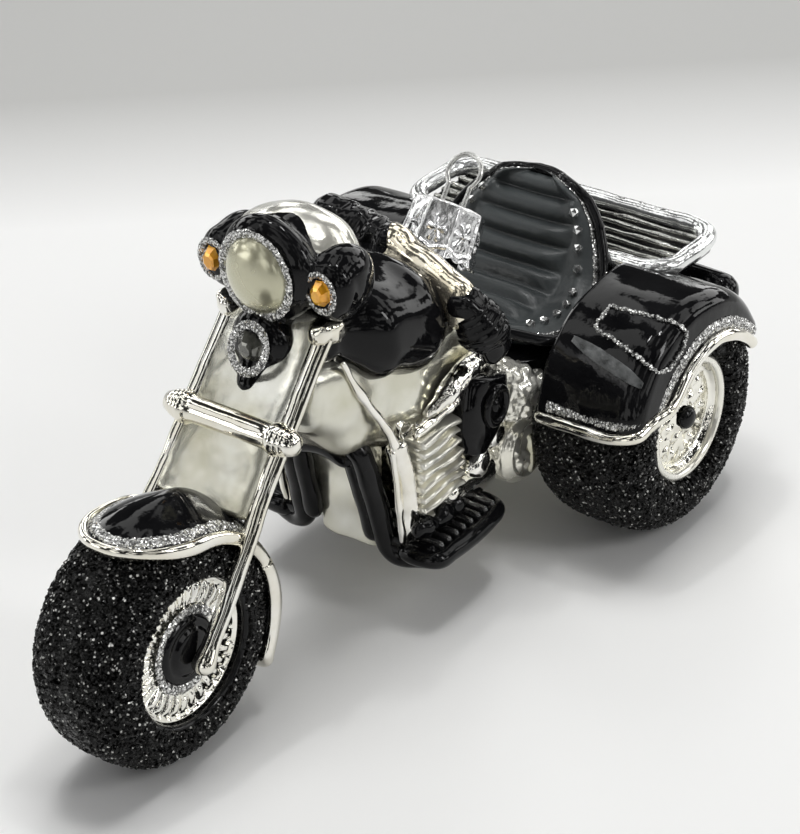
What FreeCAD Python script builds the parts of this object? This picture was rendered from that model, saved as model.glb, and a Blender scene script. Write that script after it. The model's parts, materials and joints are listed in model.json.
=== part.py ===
"""A blown glass hanging ornament in the form of a motor trike, with its metal cap and wire loop.

The glass is one body, silvered inside and painted outside. Each painted section is a solid of its own,
and neighbours meet face to face. The trike points along -Y, its left side is +X and it stands on z = 0.
Places are measured from the floor under the front axle and moved to the middle of the box at the end.
"""
import FreeCAD, Part
import math
import os

Vector = FreeCAD.Vector
X_AXIS = Vector(1, 0, 0)
Y_AXIS = Vector(0, 1, 0)
Z_AXIS = Vector(0, 0, 1)

# Wheels
wheelbase = 94.0
front_tyre_radius = 20.0
front_tyre_width = 18.0
front_rim_radius = 11.7
front_rim_depth = 2.1
rear_tyre_radius = 21.0
rear_tyre_width = 22.0
rear_rim_radius = 10.6
rear_rim_depth = 2.6
rear_wheel_x = 27.0
rim_lip = 1.1
rim_dish = 0.8
hub_radius = 3.1
hub_proud = 3.0
tyre_shoulder_drop_share = 0.38
tyre_profile_shares = ((0.0, 0.0), (0.45, 0.02), (0.72, 0.14), (0.9, 0.42), (1.0, 1.0))

# Front fender, a band over the tyre with a rolled edge on each side
front_fender_thickness = 2.2
front_fender_front_angle = 22.0
front_fender_rear_angle = 128.0
front_fender_edge_radius = 1.0
front_fender_edge_x = 9.2
front_fender_edge_drop = 0.8
front_fender_round = 2.4

# Fork, raked back from the axle
fork_rake = 43.0
fork_length = 53.0
fork_panel_start = 21.0
fork_panel_half_width = 8.0
fork_panel_thickness = 4.4
fork_leg_radius = 1.7
fork_leg_foot_x = 10.4
fork_leg_top_x = 8.9
fork_clamp_along = 34.0
fork_clamp_radius = 2.2
fork_clamp_half_width = 10.2
fork_clamp_out = 1.2

# Headlamp, signal lamps and horn
lamp_x_radius = 9.4
lamp_y_radius = 9.5
lamp_z_radius = 8.2
lamp_y = 38.5
lamp_z = 66.6
lens_radius = 5.9
lens_y = 29.3
lens_z = 67.4
lens_bulge = 1.6
lens_ring_width = 1.2
lens_barrel_length = 9.2
lens_seat_depth = 6.0
lamp_top_x_radius = 8.6
lamp_top_y_radius = 9.0
lamp_top_z_radius = 4.2
lamp_top_y = 40.5
lamp_top_z = 69.0
pod_x = 9.8
pod_y = 38.6
pod_z = 65.4
pod_x_radius = 4.8
pod_y_radius = 6.0
pod_z_radius = 5.8
pod_turn = 5.0
gem_half_width = 2.1
gem_half_height = 2.5
gem_seat_depth = 2.0
gem_proud = 0.8
horn_y = 31.5
horn_z = 55.4
horn_radius = 5.0
horn_y_radius = 3.8
horn_tip_drop = 5.8
horn_tip_run = 3.5
horn_tip_radius = 1.2
horn_gem_radius = 1.7
horn_gem_proud = 0.6

# Handlebar, with the near end turned forward, its two grips and the lever under it
bar_radius = 2.1
bar_far_x = -1.0
bar_far_y = 64.8
bar_far_z = 55.2
bar_near_x = 15.6
bar_near_y = 59.8
bar_near_z = 53.4
grip_radius = 3.2
grip_far_length = 14.0
grip_far_rise = 1.2
grip_near_drop = 7.2
grip_near_back = 3.6
grip_near_out = 2.8
grip_near_radius = 3.7
lever_radius = 1.1
lever_drop = 3.2
lever_length_share = 0.72
riser_radius = 1.8

# Tank and the silver body under it
tank_front_y = 34.0
tank_length = 36.0
tank_half_width = 14.6
tank_top_z = 61.5
tank_height = 21.5
tank_station_shares = (
    (0.0, 0.22, 0.66, 0.86),
    (0.1, 0.62, 0.46, 0.94),
    (0.32, 0.98, 0.16, 1.0),
    (0.58, 1.0, 0.0, 0.93),
    (0.82, 0.8, 0.06, 0.78),
    (1.0, 0.5, 0.2, 0.6),
)
spine_front_y = 33.0
spine_length = 47.0
spine_half_width = 11.0
spine_low_z = 26.0
spine_height = 26.0
spine_station_shares = (
    (0.0, 0.62, 0.52, 1.0),
    (0.2, 0.82, 0.2, 1.0),
    (0.5, 1.0, 0.0, 0.92),
    (1.0, 1.0, 0.0, 0.55),
)

# Front panel below the steering head, with the black guard bars
panel_half_width = 6.5
panel_front_y = 43.2
panel_depth = 8.0
panel_low_z = 11.0
panel_top_z = 34.0
panel_rake_run = 4.4
guard_top_x = 7.4
guard_low_x = 8.2
guard_radius = 2.1
guard_low_z = 12.2
guard_top_z = 32.0
guard_foot_x = 15.5
downtube_radius = 1.9
downtube_low_x = 12.0
downtube_low_y = 47.4
downtube_low_z = 14.5
downtube_knee_x = 12.0
downtube_knee_y = 47.1
downtube_knee_z = 31.5
downtube_top_x = 8.0
downtube_top_y = 38.8
downtube_top_z = 50.5

# Engine and what sits on its sides
engine_front_y = 49.0
engine_length = 29.0
engine_half_width = 11.6
engine_low_z = 10.5
engine_top_z = 36.0
engine_corner = 3.0
cylinder_y = 54.0
cylinder_z = 23.5
cylinder_length = 16.0
cylinder_width = 9.6
cylinder_lean = 4.0
cylinder_proud = 2.0
cylinder_inset = 2.0
fin_count = 8
fin_gap = 0.8
fin_proud = 0.7
cleaner_y = 65.2
cleaner_z = 30.6
cleaner_length = 12.5
cleaner_radius = 4.9
cleaner_tip_radius = 1.6
cleaner_lean = 72.0
cleaner_proud = 4.4
cleaner_ring_radius = 3.0
cleaner_ring_proud = 0.8
cover_y = 76.5
cover_z = 17.0
cover_radius = 6.6
cover_proud = 2.2
cover_round = 1.6
case_y = 61.5
case_z = 17.0
case_length = 15.0
case_radius = 4.2
case_proud = 3.4

# Footboards, one on each side, joined to the guard bars
board_front_y = 46.0
board_length = 21.5
board_inner_x = 11.8
board_outer_x = 20.0
board_low_z = 11.4
board_thickness = 2.6
board_corner = 3.4
board_rib_count = 9
board_rib_width = 0.9
board_rib_height = 0.9
board_rib_margin = 1.6
pedal_y = 51.5
pedal_z = 17.0
pedal_half_length = 5.0
pedal_radius = 1.7
pedal_x = 14.6

# Seat, a bucket with a high back
seat_half_width = 16.6
seat_back_half_width = 13.9
seat_front_half_width = 9.5
seat_front_y = 70.0
seat_base_length = 31.0
seat_low_z = 32.0
seat_base_z = 40.5
seat_station_shares = (
    (0.0, 0.5, 0.35, 1.0),
    (0.3, 0.78, 0.1, 1.0),
    (0.7, 1.0, 0.0, 1.0),
    (1.0, 0.96, 0.0, 1.0),
)
seat_back_y = 95.0
seat_back_lean = 32.0
seat_back_foot = 4.0
seat_back_height = 18.8
seat_back_thickness = 4.6
seat_crown_radius = 12.6
seat_roll_count = 6
seat_roll_radius = 2.1
seat_roll_sink = 1.2
seat_roll_half_width_share = 0.6
seat_piping_radius = 1.0
seat_piping_set_back = 1.6

# Crystals along the borders of the seat
crystal_radius = 0.9
crystal_inset = 1.9
crystal_pitch = 3.4
crystal_low = 2.6
crystal_back_count = 5
crystal_base_count = 4

# Rear body, its fenders over the wheels, the rack and the tail lamps
body_front_y = 71.0
body_rear_y = 119.0
body_half_width = 19.5
body_low_z = 21.0
body_top_z = 40.6
body_station_shares = (
    (0.0, 0.62, 0.42, 0.86),
    (0.25, 0.92, 0.2, 1.0),
    (0.6, 1.0, 0.0, 1.0),
    (1.0, 0.98, 0.08, 1.0),
)
fender_thickness = 1.6
fender_front_angle = 69.0
fender_rear_angle = 62.0
fender_inner_x = 18.0
fender_outer_x = 38.4
fender_skirt_share = 0.76
fender_round = 3.0
fender_chamfer_share = 0.3
fender_edge_radius = 0.8
fender_edge_inset = 0.4
rack_half_width = 26.5
rack_front_y = 97.0
rack_length = 23.5
rack_bar_width = 2.8
rack_height = 2.8
rack_corner = 5.5
rack_slat_count = 6
rack_slat_width = 1.5
rack_slat_height = 1.6
rack_bed_thickness = 3.0
rack_bed_inset = 1.2
tail_lamp_inner_x = 17.0
tail_lamp_outer_x = 28.5
tail_lamp_y = 116.0
tail_lamp_z = 32.5
tail_lamp_radius = 3.3
axle_body_half_width = 16.4
axle_body_front_y = 76.0
axle_body_length = 36.0
axle_body_low_z = 10.5
axle_body_height = 13.0
axle_body_corner = 3.0

# Neck with the cap that slips over it, and the wire loop
neck_y = 71.3
neck_z = 47.8
neck_lean = 40.0
neck_radius = 4.3
neck_wall = 0.9
neck_length = 11.2
neck_root = 4.0
collar_radius = 5.0
collar_length = 3.4
cap_start = 4.0
cap_height = 8.0
cap_wall = 0.5
cap_corner_low = 6.8
cap_corner_high = 6.0
cap_side_count = 8
loop_wire_radius = 0.4
loop_radius = 3.1
loop_leg_x = 2.1
loop_rise = 9.4
loop_leg_depth = 3.2
loop_hole_clearance = 0.15

overrun = 1.0


def fork_direction():
    """The unit vector up along the raked fork."""
    angle = math.radians(fork_rake)
    return Vector(0, math.sin(angle), math.cos(angle))


def fork_outward():
    """The unit vector square to the fork, forwards and up."""
    angle = math.radians(fork_rake)
    return Vector(0, -math.cos(angle), math.sin(angle))


def on_fork(x, along, out=0.0):
    """A point given by its side offset, its way up the fork and its way out in front of it."""
    start = Vector(x, 0, front_tyre_radius)
    return start + fork_direction() * along + fork_outward() * out


def neck_direction():
    """The unit vector along the neck, up and back."""
    angle = math.radians(neck_lean)
    return Vector(0, math.sin(angle), math.cos(angle))


def on_neck(along):
    """A point on the neck's axis."""
    return Vector(0, neck_y, neck_z) + neck_direction() * along


def ellipsoid(centre, x_radius, y_radius, z_radius, turn=0.0):
    """An ellipsoid, turned about the upright through its centre."""
    stretch = FreeCAD.Matrix()
    stretch.scale(Vector(x_radius, y_radius, z_radius))
    ball = Part.makeSphere(1, Vector(0, 0, 0), Y_AXIS).transformGeometry(stretch)
    ball.rotate(Vector(0, 0, 0), Z_AXIS, turn)
    ball.translate(centre)
    return ball


def rod(start, end, radius):
    """A straight round rod between two points."""
    run = end - start
    return Part.makeCylinder(radius, run.Length, start, run)


def capsule(start, end, radius):
    """A rod with a ball at each end."""
    return fuse_all([rod(start, end, radius), Part.makeSphere(radius, start), Part.makeSphere(radius, end)])


def tapered_capsule(start, end, start_radius, end_radius):
    """A cone between two balls of different sizes."""
    run = end - start
    body = Part.makeCone(start_radius, end_radius, run.Length, start, run)
    balls = [Part.makeSphere(start_radius, start), Part.makeSphere(end_radius, end)]
    return fuse_all([body] + balls)


def fuse_all(shapes):
    """One shape from several that touch."""
    result = shapes[0]
    for shape in shapes[1:]:
        result = result.fuse(shape)
    return result


def both_sides(shape):
    """The left piece and its mirror image on the right."""
    return Part.makeCompound([shape, shape.mirror(Vector(0, 0, 0), X_AXIS)])


def rounded_section(y, half_width, low, high, corner_share=0.42):
    """A rounded rectangle square to Y, as a closed wire."""
    corner = corner_share * min(2 * half_width, high - low)
    slack = corner * (1 - math.sqrt(0.5))
    left, right = -half_width, half_width
    edges = [
        Part.makeLine(Vector(left + corner, y, low), Vector(right - corner, y, low)),
        Part.Arc(Vector(right - corner, y, low), Vector(right - slack, y, low + slack),
                 Vector(right, y, low + corner)).toShape(),
        Part.makeLine(Vector(right, y, low + corner), Vector(right, y, high - corner)),
        Part.Arc(Vector(right, y, high - corner), Vector(right - slack, y, high - slack),
                 Vector(right - corner, y, high)).toShape(),
        Part.makeLine(Vector(right - corner, y, high), Vector(left + corner, y, high)),
        Part.Arc(Vector(left + corner, y, high), Vector(left + slack, y, high - slack),
                 Vector(left, y, high - corner)).toShape(),
        Part.makeLine(Vector(left, y, high - corner), Vector(left, y, low + corner)),
        Part.Arc(Vector(left, y, low + corner), Vector(left + slack, y, low + slack),
                 Vector(left + corner, y, low)).toShape(),
    ]
    return Part.Wire(edges)


def lofted_body(front_y, length, half_width, low_z, height, station_shares, smooth=False):
    """A solid through rounded sections, each given by shares of the length, width and height."""
    sections = []
    for along, width, low, high in station_shares:
        y = front_y + along * length
        sections.append(rounded_section(y, width * half_width, low_z + low * height, low_z + high * height))
    return Part.makeLoft(sections, True, not smooth)


def rounded_box(x_low, x_high, y_low, y_high, z_low, z_high, corner):
    """A box with every edge rounded."""
    box = Part.makeBox(x_high - x_low, y_high - y_low, z_high - z_low, Vector(x_low, y_low, z_low))
    return box.makeFillet(corner, box.Edges)


def filleted_plate(x_low, x_high, y_low, y_high, z_low, height, corner):
    """A flat box with round upright corners."""
    box = Part.makeBox(x_high - x_low, y_high - y_low, height, Vector(x_low, y_low, z_low))
    uprights = [edge for edge in box.Edges if abs(edge.tangentAt(edge.FirstParameter).z) > 0.5]
    return box.makeFillet(corner, uprights)


def turned_about_x(profile, centre):
    """A solid of revolution about X. The profile holds (x, radius) points in order."""
    points = [Vector(x, 0, radius) for x, radius in profile]
    face = Part.Face(Part.makePolygon(points + points[:1]))
    solid = face.revolve(Vector(0, 0, 0), X_AXIS, 360)
    solid.translate(centre)
    return solid


def ring_sector(centre, profile, start, end):
    """Part of a ring about X with the profile's (x, radius) points. Zero degrees is up, plus is to the rear."""
    points = [Vector(x, 0, radius) for x, radius in profile]
    face = Part.Face(Part.makePolygon(points + points[:1]))
    face.rotate(Vector(0, 0, 0), X_AXIS, -start)
    solid = face.revolve(Vector(0, 0, 0), X_AXIS, start - end)
    solid.translate(centre)
    return solid


def ring_bead(centre, radius, x, bead_radius, start, end):
    """A round bead bent about X, from one angle to another, with round ends."""
    circle = Part.Wire(Part.makeCircle(bead_radius, Vector(x, 0, radius), Y_AXIS))
    face = Part.Face(circle)
    face.rotate(Vector(0, 0, 0), X_AXIS, -start)
    bead = face.revolve(Vector(0, 0, 0), X_AXIS, start - end)
    ends = []
    for angle in (start, end):
        turn = math.radians(angle)
        ends.append(Part.makeSphere(bead_radius, Vector(x, radius * math.sin(turn), radius * math.cos(turn))))
    bead = fuse_all([bead] + ends)
    bead.translate(centre)
    return bead


def tyre(centre, radius, half_width, rim_radius, rim_depth):
    """A fat tyre with round shoulders, open in the middle for its rim."""
    drop = tyre_shoulder_drop_share * radius
    right_side = [(x * half_width, radius - fall * drop) for x, fall in tyre_profile_shares]
    left_side = [(-x, r) for x, r in reversed(right_side[1:])]
    inner_x = half_width - rim_depth
    profile = [(-inner_x, rim_radius)] + left_side + right_side + [(inner_x, rim_radius)]
    return turned_about_x(profile, centre)


def rim(centre, half_width, rim_radius, rim_depth):
    """A solid wheel disc with a raised lip on each face."""
    face_x = half_width - rim_depth
    dish_x = face_x - rim_dish
    profile = [
        (-dish_x, 0), (-dish_x, rim_radius - rim_lip), (-face_x, rim_radius - rim_lip), (-face_x, rim_radius),
        (face_x, rim_radius), (face_x, rim_radius - rim_lip), (dish_x, rim_radius - rim_lip), (dish_x, 0)]
    return turned_about_x(profile, centre)


def hub_caps(centre, half_width, rim_depth):
    """The domed hub on each face of a wheel, through its middle."""
    face_x = half_width - rim_depth - rim_dish
    reach = face_x + hub_proud
    return ellipsoid(centre, reach, hub_radius, hub_radius).fuse(
        rod(centre - X_AXIS * face_x, centre + X_AXIS * face_x, hub_radius))


def front_wheel(nodes):
    centre = Vector(0, 0, front_tyre_radius)
    half_width = front_tyre_width / 2
    nodes["front_hub"] = hub_caps(centre, half_width, front_rim_depth)
    nodes["fork_legs"] = both_sides(capsule(on_fork(fork_leg_foot_x, 0), on_fork(fork_leg_top_x, fork_length),
                                            fork_leg_radius))
    nodes["front_tyre"] = tyre(centre, front_tyre_radius, half_width, front_rim_radius, front_rim_depth)
    nodes["front_rim"] = rim(centre, half_width, front_rim_radius, front_rim_depth)


def rear_wheels(nodes):
    half_width = rear_tyre_width / 2
    for side, x in (("left", rear_wheel_x), ("right", -rear_wheel_x)):
        centre = Vector(x, wheelbase, rear_tyre_radius)
        nodes["rear_tyre_" + side] = tyre(centre, rear_tyre_radius, half_width, rear_rim_radius, rear_rim_depth)
    centre = Vector(rear_wheel_x, wheelbase, rear_tyre_radius)
    nodes["rear_hubs"] = both_sides(hub_caps(centre, half_width, rear_rim_depth))
    nodes["rear_rims"] = both_sides(rim(centre, half_width, rear_rim_radius, rear_rim_depth))


def front_fender(nodes):
    centre = Vector(0, 0, front_tyre_radius)
    edge_radius = front_tyre_radius - front_fender_edge_drop
    beads = []
    for x in (-front_fender_edge_x, front_fender_edge_x):
        beads.append(ring_bead(centre, edge_radius, x, front_fender_edge_radius,
                               -front_fender_front_angle, front_fender_rear_angle))
    outer = front_tyre_radius + front_fender_thickness
    half = front_fender_edge_x
    flat = half - front_fender_round
    turn = math.radians(-front_fender_front_angle)
    radial = Vector(0, math.sin(turn), math.cos(turn))
    lip = centre + radial * (outer - front_fender_edge_radius)
    side = centre + radial * edge_radius
    beads.append(capsule(side - X_AXIS * half, lip - X_AXIS * flat, front_fender_edge_radius))
    beads.append(capsule(lip - X_AXIS * flat, lip + X_AXIS * flat, front_fender_edge_radius))
    beads.append(capsule(lip + X_AXIS * flat, side + X_AXIS * half, front_fender_edge_radius))
    nodes["front_fender_edge"] = fuse_all(beads)
    profile = [(-half, edge_radius), (half, edge_radius), (half, outer - front_fender_round), (flat, outer),
               (-flat, outer), (-half, outer - front_fender_round)]
    nodes["front_fender"] = ring_sector(centre, profile, -front_fender_front_angle, front_fender_rear_angle)


def fork(nodes):
    side_x = fork_clamp_half_width - fork_clamp_radius
    nodes["fork_clamp"] = capsule(on_fork(-side_x, fork_clamp_along, fork_clamp_out),
                                  on_fork(side_x, fork_clamp_along, fork_clamp_out), fork_clamp_radius)
    half = fork_panel_thickness / 2
    corners = [on_fork(-fork_panel_half_width, fork_panel_start, -half),
               on_fork(-fork_panel_half_width, fork_length, -half),
               on_fork(-fork_panel_half_width, fork_length, half),
               on_fork(-fork_panel_half_width, fork_panel_start, half)]
    face = Part.Face(Part.makePolygon(corners + corners[:1]))
    nodes["fork_panel"] = face.extrude(X_AXIS * (2 * fork_panel_half_width))


def headlamp(nodes):
    centre = Vector(0, lamp_y, lamp_z)
    shell = ellipsoid(centre, lamp_x_radius, lamp_y_radius, lamp_z_radius)
    lens_middle = Vector(0, lens_y, lens_z)
    lens_back = lens_middle + Y_AXIS * lens_seat_depth
    barrel = Part.makeCylinder(lens_radius + lens_ring_width, lens_barrel_length, lens_middle, Y_AXIS)
    lens_dome = ellipsoid(lens_middle, lens_radius, lens_bulge, lens_radius)
    nodes["headlamp_lens"] = lens_dome.fuse(Part.makeCylinder(lens_radius, lens_seat_depth, lens_middle, Y_AXIS))
    nodes["headlamp_top"] = ellipsoid(Vector(0, lamp_top_y, lamp_top_z), lamp_top_x_radius,
                                      lamp_top_y_radius, lamp_top_z_radius)
    signal_lamps(nodes)
    socket = rod(lens_middle, lens_back, lens_radius)
    nodes["headlamp_shell"] = shell.fuse(barrel).cut(socket)


def signal_lamps(nodes):
    """A pod on each side of the headlamp, with a cut gem in its face."""
    middle = Vector(pod_x, pod_y, pod_z)
    turn = math.radians(pod_turn)
    facing = Vector(math.sin(turn), -math.cos(turn), 0)
    pod = ellipsoid(middle, pod_x_radius, pod_y_radius, pod_z_radius, pod_turn)
    stretch = FreeCAD.Matrix()
    stretch.scale(Vector(1, 1, gem_half_height / gem_half_width))
    blank = Part.makeCylinder(gem_half_width, gem_proud + gem_seat_depth, Vector(0, 0, 0), facing * -1)
    gem = blank.transformGeometry(stretch)
    gem.translate(middle + facing * (pod_y_radius + gem_proud))
    nodes["signal_gems"] = both_sides(gem)
    nodes["signal_pods"] = both_sides(pod)


def horn(nodes):
    centre = Vector(0, horn_y, horn_z)
    ball = ellipsoid(centre, horn_radius, horn_y_radius, horn_radius)
    tip = centre - Vector(0, horn_tip_run, horn_tip_drop)
    drop = tapered_capsule(centre, tip, horn_y_radius, horn_tip_radius)
    gem_back = centre
    gem_front = centre - Y_AXIS * (horn_y_radius + horn_gem_proud)
    nodes["horn_gem"] = rod(gem_back, gem_front, horn_gem_radius)
    nodes["horn_housing"] = ball.fuse(drop)


def handlebar(nodes):
    far = Vector(bar_far_x, bar_far_y, bar_far_z)
    near = Vector(bar_near_x, bar_near_y, bar_near_z)
    far_end = far - X_AXIS * grip_far_length + Z_AXIS * grip_far_rise
    near_end = near + Vector(grip_near_out, grip_near_back, -grip_near_drop)
    head = on_fork(0, fork_length)
    nodes["grip_right"] = capsule(far_end, far, grip_radius)
    nodes["grip_left"] = tapered_capsule((near + near_end) * 0.5, near_end, grip_radius, grip_near_radius)
    nodes["handlebar"] = fuse_all([capsule(far, near, bar_radius),
                                   rod(head, (far + near) * 0.5, riser_radius)])
    lever_start = near - Z_AXIS * lever_drop
    lever_end = lever_start + (far - near) * lever_length_share
    nodes["lever"] = capsule(lever_start, lever_end, lever_radius)


def tank(nodes):
    nodes["tank"] = lofted_body(tank_front_y, tank_length, tank_half_width, tank_top_z - tank_height,
                                tank_height, tank_station_shares, smooth=True)


def frame_tubes(nodes):
    """The silver tubes down each side of the front, and the black guard bars out to the footboards."""
    low = Vector(downtube_low_x, downtube_low_y, downtube_low_z)
    knee = Vector(downtube_knee_x, downtube_knee_y, downtube_knee_z)
    top = Vector(downtube_top_x, downtube_top_y, downtube_top_z)
    nodes["downtubes"] = both_sides(capsule(low, knee, downtube_radius).fuse(
        capsule(knee, top, downtube_radius)))
    low_y = panel_front_y + panel_rake_run
    guard_top = Vector(guard_top_x, panel_front_y, guard_top_z)
    guard_knee = Vector(guard_low_x, low_y, guard_low_z)
    guard_foot = Vector(guard_foot_x, low_y, guard_low_z)
    guard = capsule(guard_top, guard_knee, guard_radius).fuse(capsule(guard_knee, guard_foot, guard_radius))
    across = capsule(guard_top, Vector(-guard_top_x, panel_front_y, guard_top_z), guard_radius)
    return fuse_all([across] + both_sides(guard).Solids)


def engine_sides(nodes):
    nodes["air_cleaners"] = both_sides(air_cleaner())
    nodes["cylinders"] = both_sides(cylinder_with_fins())
    nodes["drive_covers"] = both_sides(drive_cover())
    nodes["crank_cases"] = both_sides(crank_case())


def spine_and_engine(nodes):
    nodes["engine_block"] = filleted_plate(-engine_half_width, engine_half_width, engine_front_y,
                                           engine_front_y + engine_length, engine_low_z,
                                           engine_top_z - engine_low_z, engine_corner)
    low_y = panel_front_y + panel_rake_run
    corners = [Vector(-panel_half_width, low_y, panel_low_z),
               Vector(-panel_half_width, panel_front_y, panel_top_z),
               Vector(-panel_half_width, panel_front_y + panel_depth, panel_top_z),
               Vector(-panel_half_width, low_y + panel_depth, panel_low_z)]
    face = Part.Face(Part.makePolygon(corners + corners[:1]))
    nodes["front_panel"] = face.extrude(X_AXIS * (2 * panel_half_width))
    nodes["spine"] = lofted_body(spine_front_y, spine_length, spine_half_width, spine_low_z,
                                 spine_height, spine_station_shares)


def cylinder_with_fins():
    """The finned cylinder, proud of the engine's side."""
    inner_x = engine_half_width - cylinder_inset
    depth = cylinder_inset + cylinder_proud
    middle = Vector(inner_x, cylinder_y, cylinder_z)
    half_width = cylinder_width / 2
    half_length = cylinder_length / 2
    parts = [Part.makeBox(depth, cylinder_width, cylinder_length, middle - Vector(0, half_width, half_length))]
    pitch = (cylinder_length + fin_gap) / fin_count
    for index in range(fin_count):
        low = -half_length + index * pitch
        parts.append(Part.makeBox(depth + fin_proud, cylinder_width + 2 * fin_proud, pitch - fin_gap,
                                  middle + Vector(0, -half_width - fin_proud, low)))
    block = fuse_all(parts)
    block.rotate(middle, X_AXIS, -cylinder_lean)
    return block


def air_cleaner():
    """A teardrop on the engine's side with a raised oval ring."""
    half_run = (cleaner_length - cleaner_radius - cleaner_tip_radius) / 2
    angle = math.radians(cleaner_lean)
    along = Vector(0, math.cos(angle), math.sin(angle))
    middle = Vector(engine_half_width - cylinder_inset, cleaner_y, cleaner_z)
    depth = cylinder_inset + cleaner_proud
    big = middle + along * half_run
    small = middle - along * half_run
    run = big - small
    tangent = math.asin((cleaner_radius - cleaner_tip_radius) / run.Length)
    side = Vector(0, -along.z, along.y)
    lean_out = side * math.cos(tangent) - along * math.sin(tangent)
    lean_in = side * -math.cos(tangent) - along * math.sin(tangent)
    edges = [
        Part.makeLine(small + lean_out * cleaner_tip_radius, big + lean_out * cleaner_radius),
        Part.Arc(big + lean_out * cleaner_radius, big + along * cleaner_radius,
                 big + lean_in * cleaner_radius).toShape(),
        Part.makeLine(big + lean_in * cleaner_radius, small + lean_in * cleaner_tip_radius),
        Part.Arc(small + lean_in * cleaner_tip_radius, small - along * cleaner_tip_radius,
                 small + lean_out * cleaner_tip_radius).toShape(),
    ]
    body = Part.Face(Part.Wire(edges)).extrude(X_AXIS * depth)
    ring = Part.makeCylinder(cleaner_ring_radius, cleaner_ring_proud, big + X_AXIS * depth, X_AXIS)
    return body.fuse(ring)


def crank_case():
    """The long low bulge of the engine's side above the footboard."""
    x = engine_half_width + case_proud - case_radius
    reach = case_length / 2 - case_radius
    return capsule(Vector(x, case_y - reach, case_z), Vector(x, case_y + reach, case_z), case_radius)


def drive_cover():
    """The round cover in front of the rear wheel, with a round outer edge."""
    start = Vector(engine_half_width - cylinder_inset, cover_y, cover_z)
    drum = Part.makeCylinder(cover_radius, cylinder_inset + cover_proud, start, X_AXIS)
    outer = [edge for edge in drum.Edges if edge.BoundBox.XMin > start.x and edge.BoundBox.XLength < overrun]
    return drum.makeFillet(cover_round, outer)


def footboards(nodes):
    """A black board with ribs across it on each side, and a pedal over its front."""
    pedal_start = Vector(pedal_x, pedal_y - pedal_half_length, pedal_z)
    pedal_end = Vector(pedal_x, pedal_y + pedal_half_length, pedal_z)
    nodes["pedals"] = both_sides(capsule(pedal_start, pedal_end, pedal_radius))
    top_z = board_low_z + board_thickness
    parts = [filleted_plate(board_inner_x, board_outer_x, board_front_y, board_front_y + board_length,
                            board_low_z, board_thickness, board_corner)]
    pitch = (board_length - 2 * board_corner) / board_rib_count
    rib_length = board_outer_x - board_inner_x - 2 * board_rib_margin
    for index in range(board_rib_count):
        y = board_front_y + board_corner + (index + 0.5) * pitch - board_rib_width / 2
        parts.append(Part.makeBox(rib_length, board_rib_width, board_rib_height,
                                  Vector(board_inner_x + board_rib_margin, y, top_z)))
    nodes["footboards"] = both_sides(fuse_all(parts))


def seat_direction():
    """The unit vector up along the leaning back of the seat."""
    angle = math.radians(seat_back_lean)
    return Vector(0, math.sin(angle), math.cos(angle))


def seat_forward():
    """The unit vector out of the front of the seat's back."""
    angle = math.radians(seat_back_lean)
    return Vector(0, -math.cos(angle), math.sin(angle))


def on_seat_back(x, along, out=0.0):
    """A point given by its side offset, its way up the back and its way out in front of it."""
    foot = Vector(x, seat_back_y, seat_base_z - seat_back_foot)
    return foot + seat_direction() * along + seat_forward() * out


def seat_back_plate(half_width, height, thickness, out):
    """An upright plate with a round top, leaning back."""
    crown = min(seat_crown_radius, half_width - overrun)
    slack = crown * (1 - math.sqrt(0.5))
    right_low = on_seat_back(-half_width, 0, out)
    left_low = on_seat_back(half_width, 0, out)
    edges = [
        Part.makeLine(left_low, on_seat_back(half_width, height - crown, out)),
        Part.Arc(on_seat_back(half_width, height - crown, out),
                 on_seat_back(half_width - slack, height - slack, out),
                 on_seat_back(half_width - crown, height, out)).toShape(),
        Part.makeLine(on_seat_back(half_width - crown, height, out),
                      on_seat_back(crown - half_width, height, out)),
        Part.Arc(on_seat_back(crown - half_width, height, out),
                 on_seat_back(slack - half_width, height - slack, out),
                 on_seat_back(-half_width, height - crown, out)).toShape(),
        Part.makeLine(on_seat_back(-half_width, height - crown, out), right_low),
        Part.makeLine(right_low, left_low),
    ]
    return Part.Face(Part.Wire(edges)).extrude(seat_forward() * -thickness)


def seat(nodes):
    crystals = []
    for sign in (1, -1):
        for index in range(crystal_back_count):
            along = crystal_low + index * crystal_pitch
            crystals.append(Part.makeSphere(crystal_radius, on_seat_back(
                sign * (seat_back_half_width - crystal_inset), along, 0)))
        for index in range(crystal_base_count):
            y = seat_back_y - crystal_pitch * (index + 1)
            share = (y - seat_front_y) / seat_base_length
            x = seat_front_half_width + share * (seat_half_width - seat_front_half_width) - crystal_inset
            crystals.append(Part.makeSphere(crystal_radius, Vector(sign * x, y, seat_base_z)))
    nodes["seat_crystals"] = Part.makeCompound(crystals)
    base = lofted_body(seat_front_y, seat_base_length, seat_half_width, seat_low_z,
                       seat_base_z - seat_low_z, seat_station_shares)
    back = seat_back_plate(seat_back_half_width, seat_back_height, seat_back_thickness, 0)
    parts = [base, back]
    pitch = seat_back_height / seat_roll_count
    for index in range(1, seat_roll_count):
        half = seat_roll_half_width_share * seat_back_half_width
        along = index * pitch
        parts.append(capsule(on_seat_back(-half, along, -seat_roll_sink),
                             on_seat_back(half, along, -seat_roll_sink), seat_roll_radius))
    nodes["seat"] = fuse_all(parts)
    nodes["seat_piping"] = seat_back_plate(seat_back_half_width + seat_piping_radius,
                                           seat_back_height + seat_piping_radius,
                                           2 * seat_piping_radius, -seat_piping_set_back)


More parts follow.
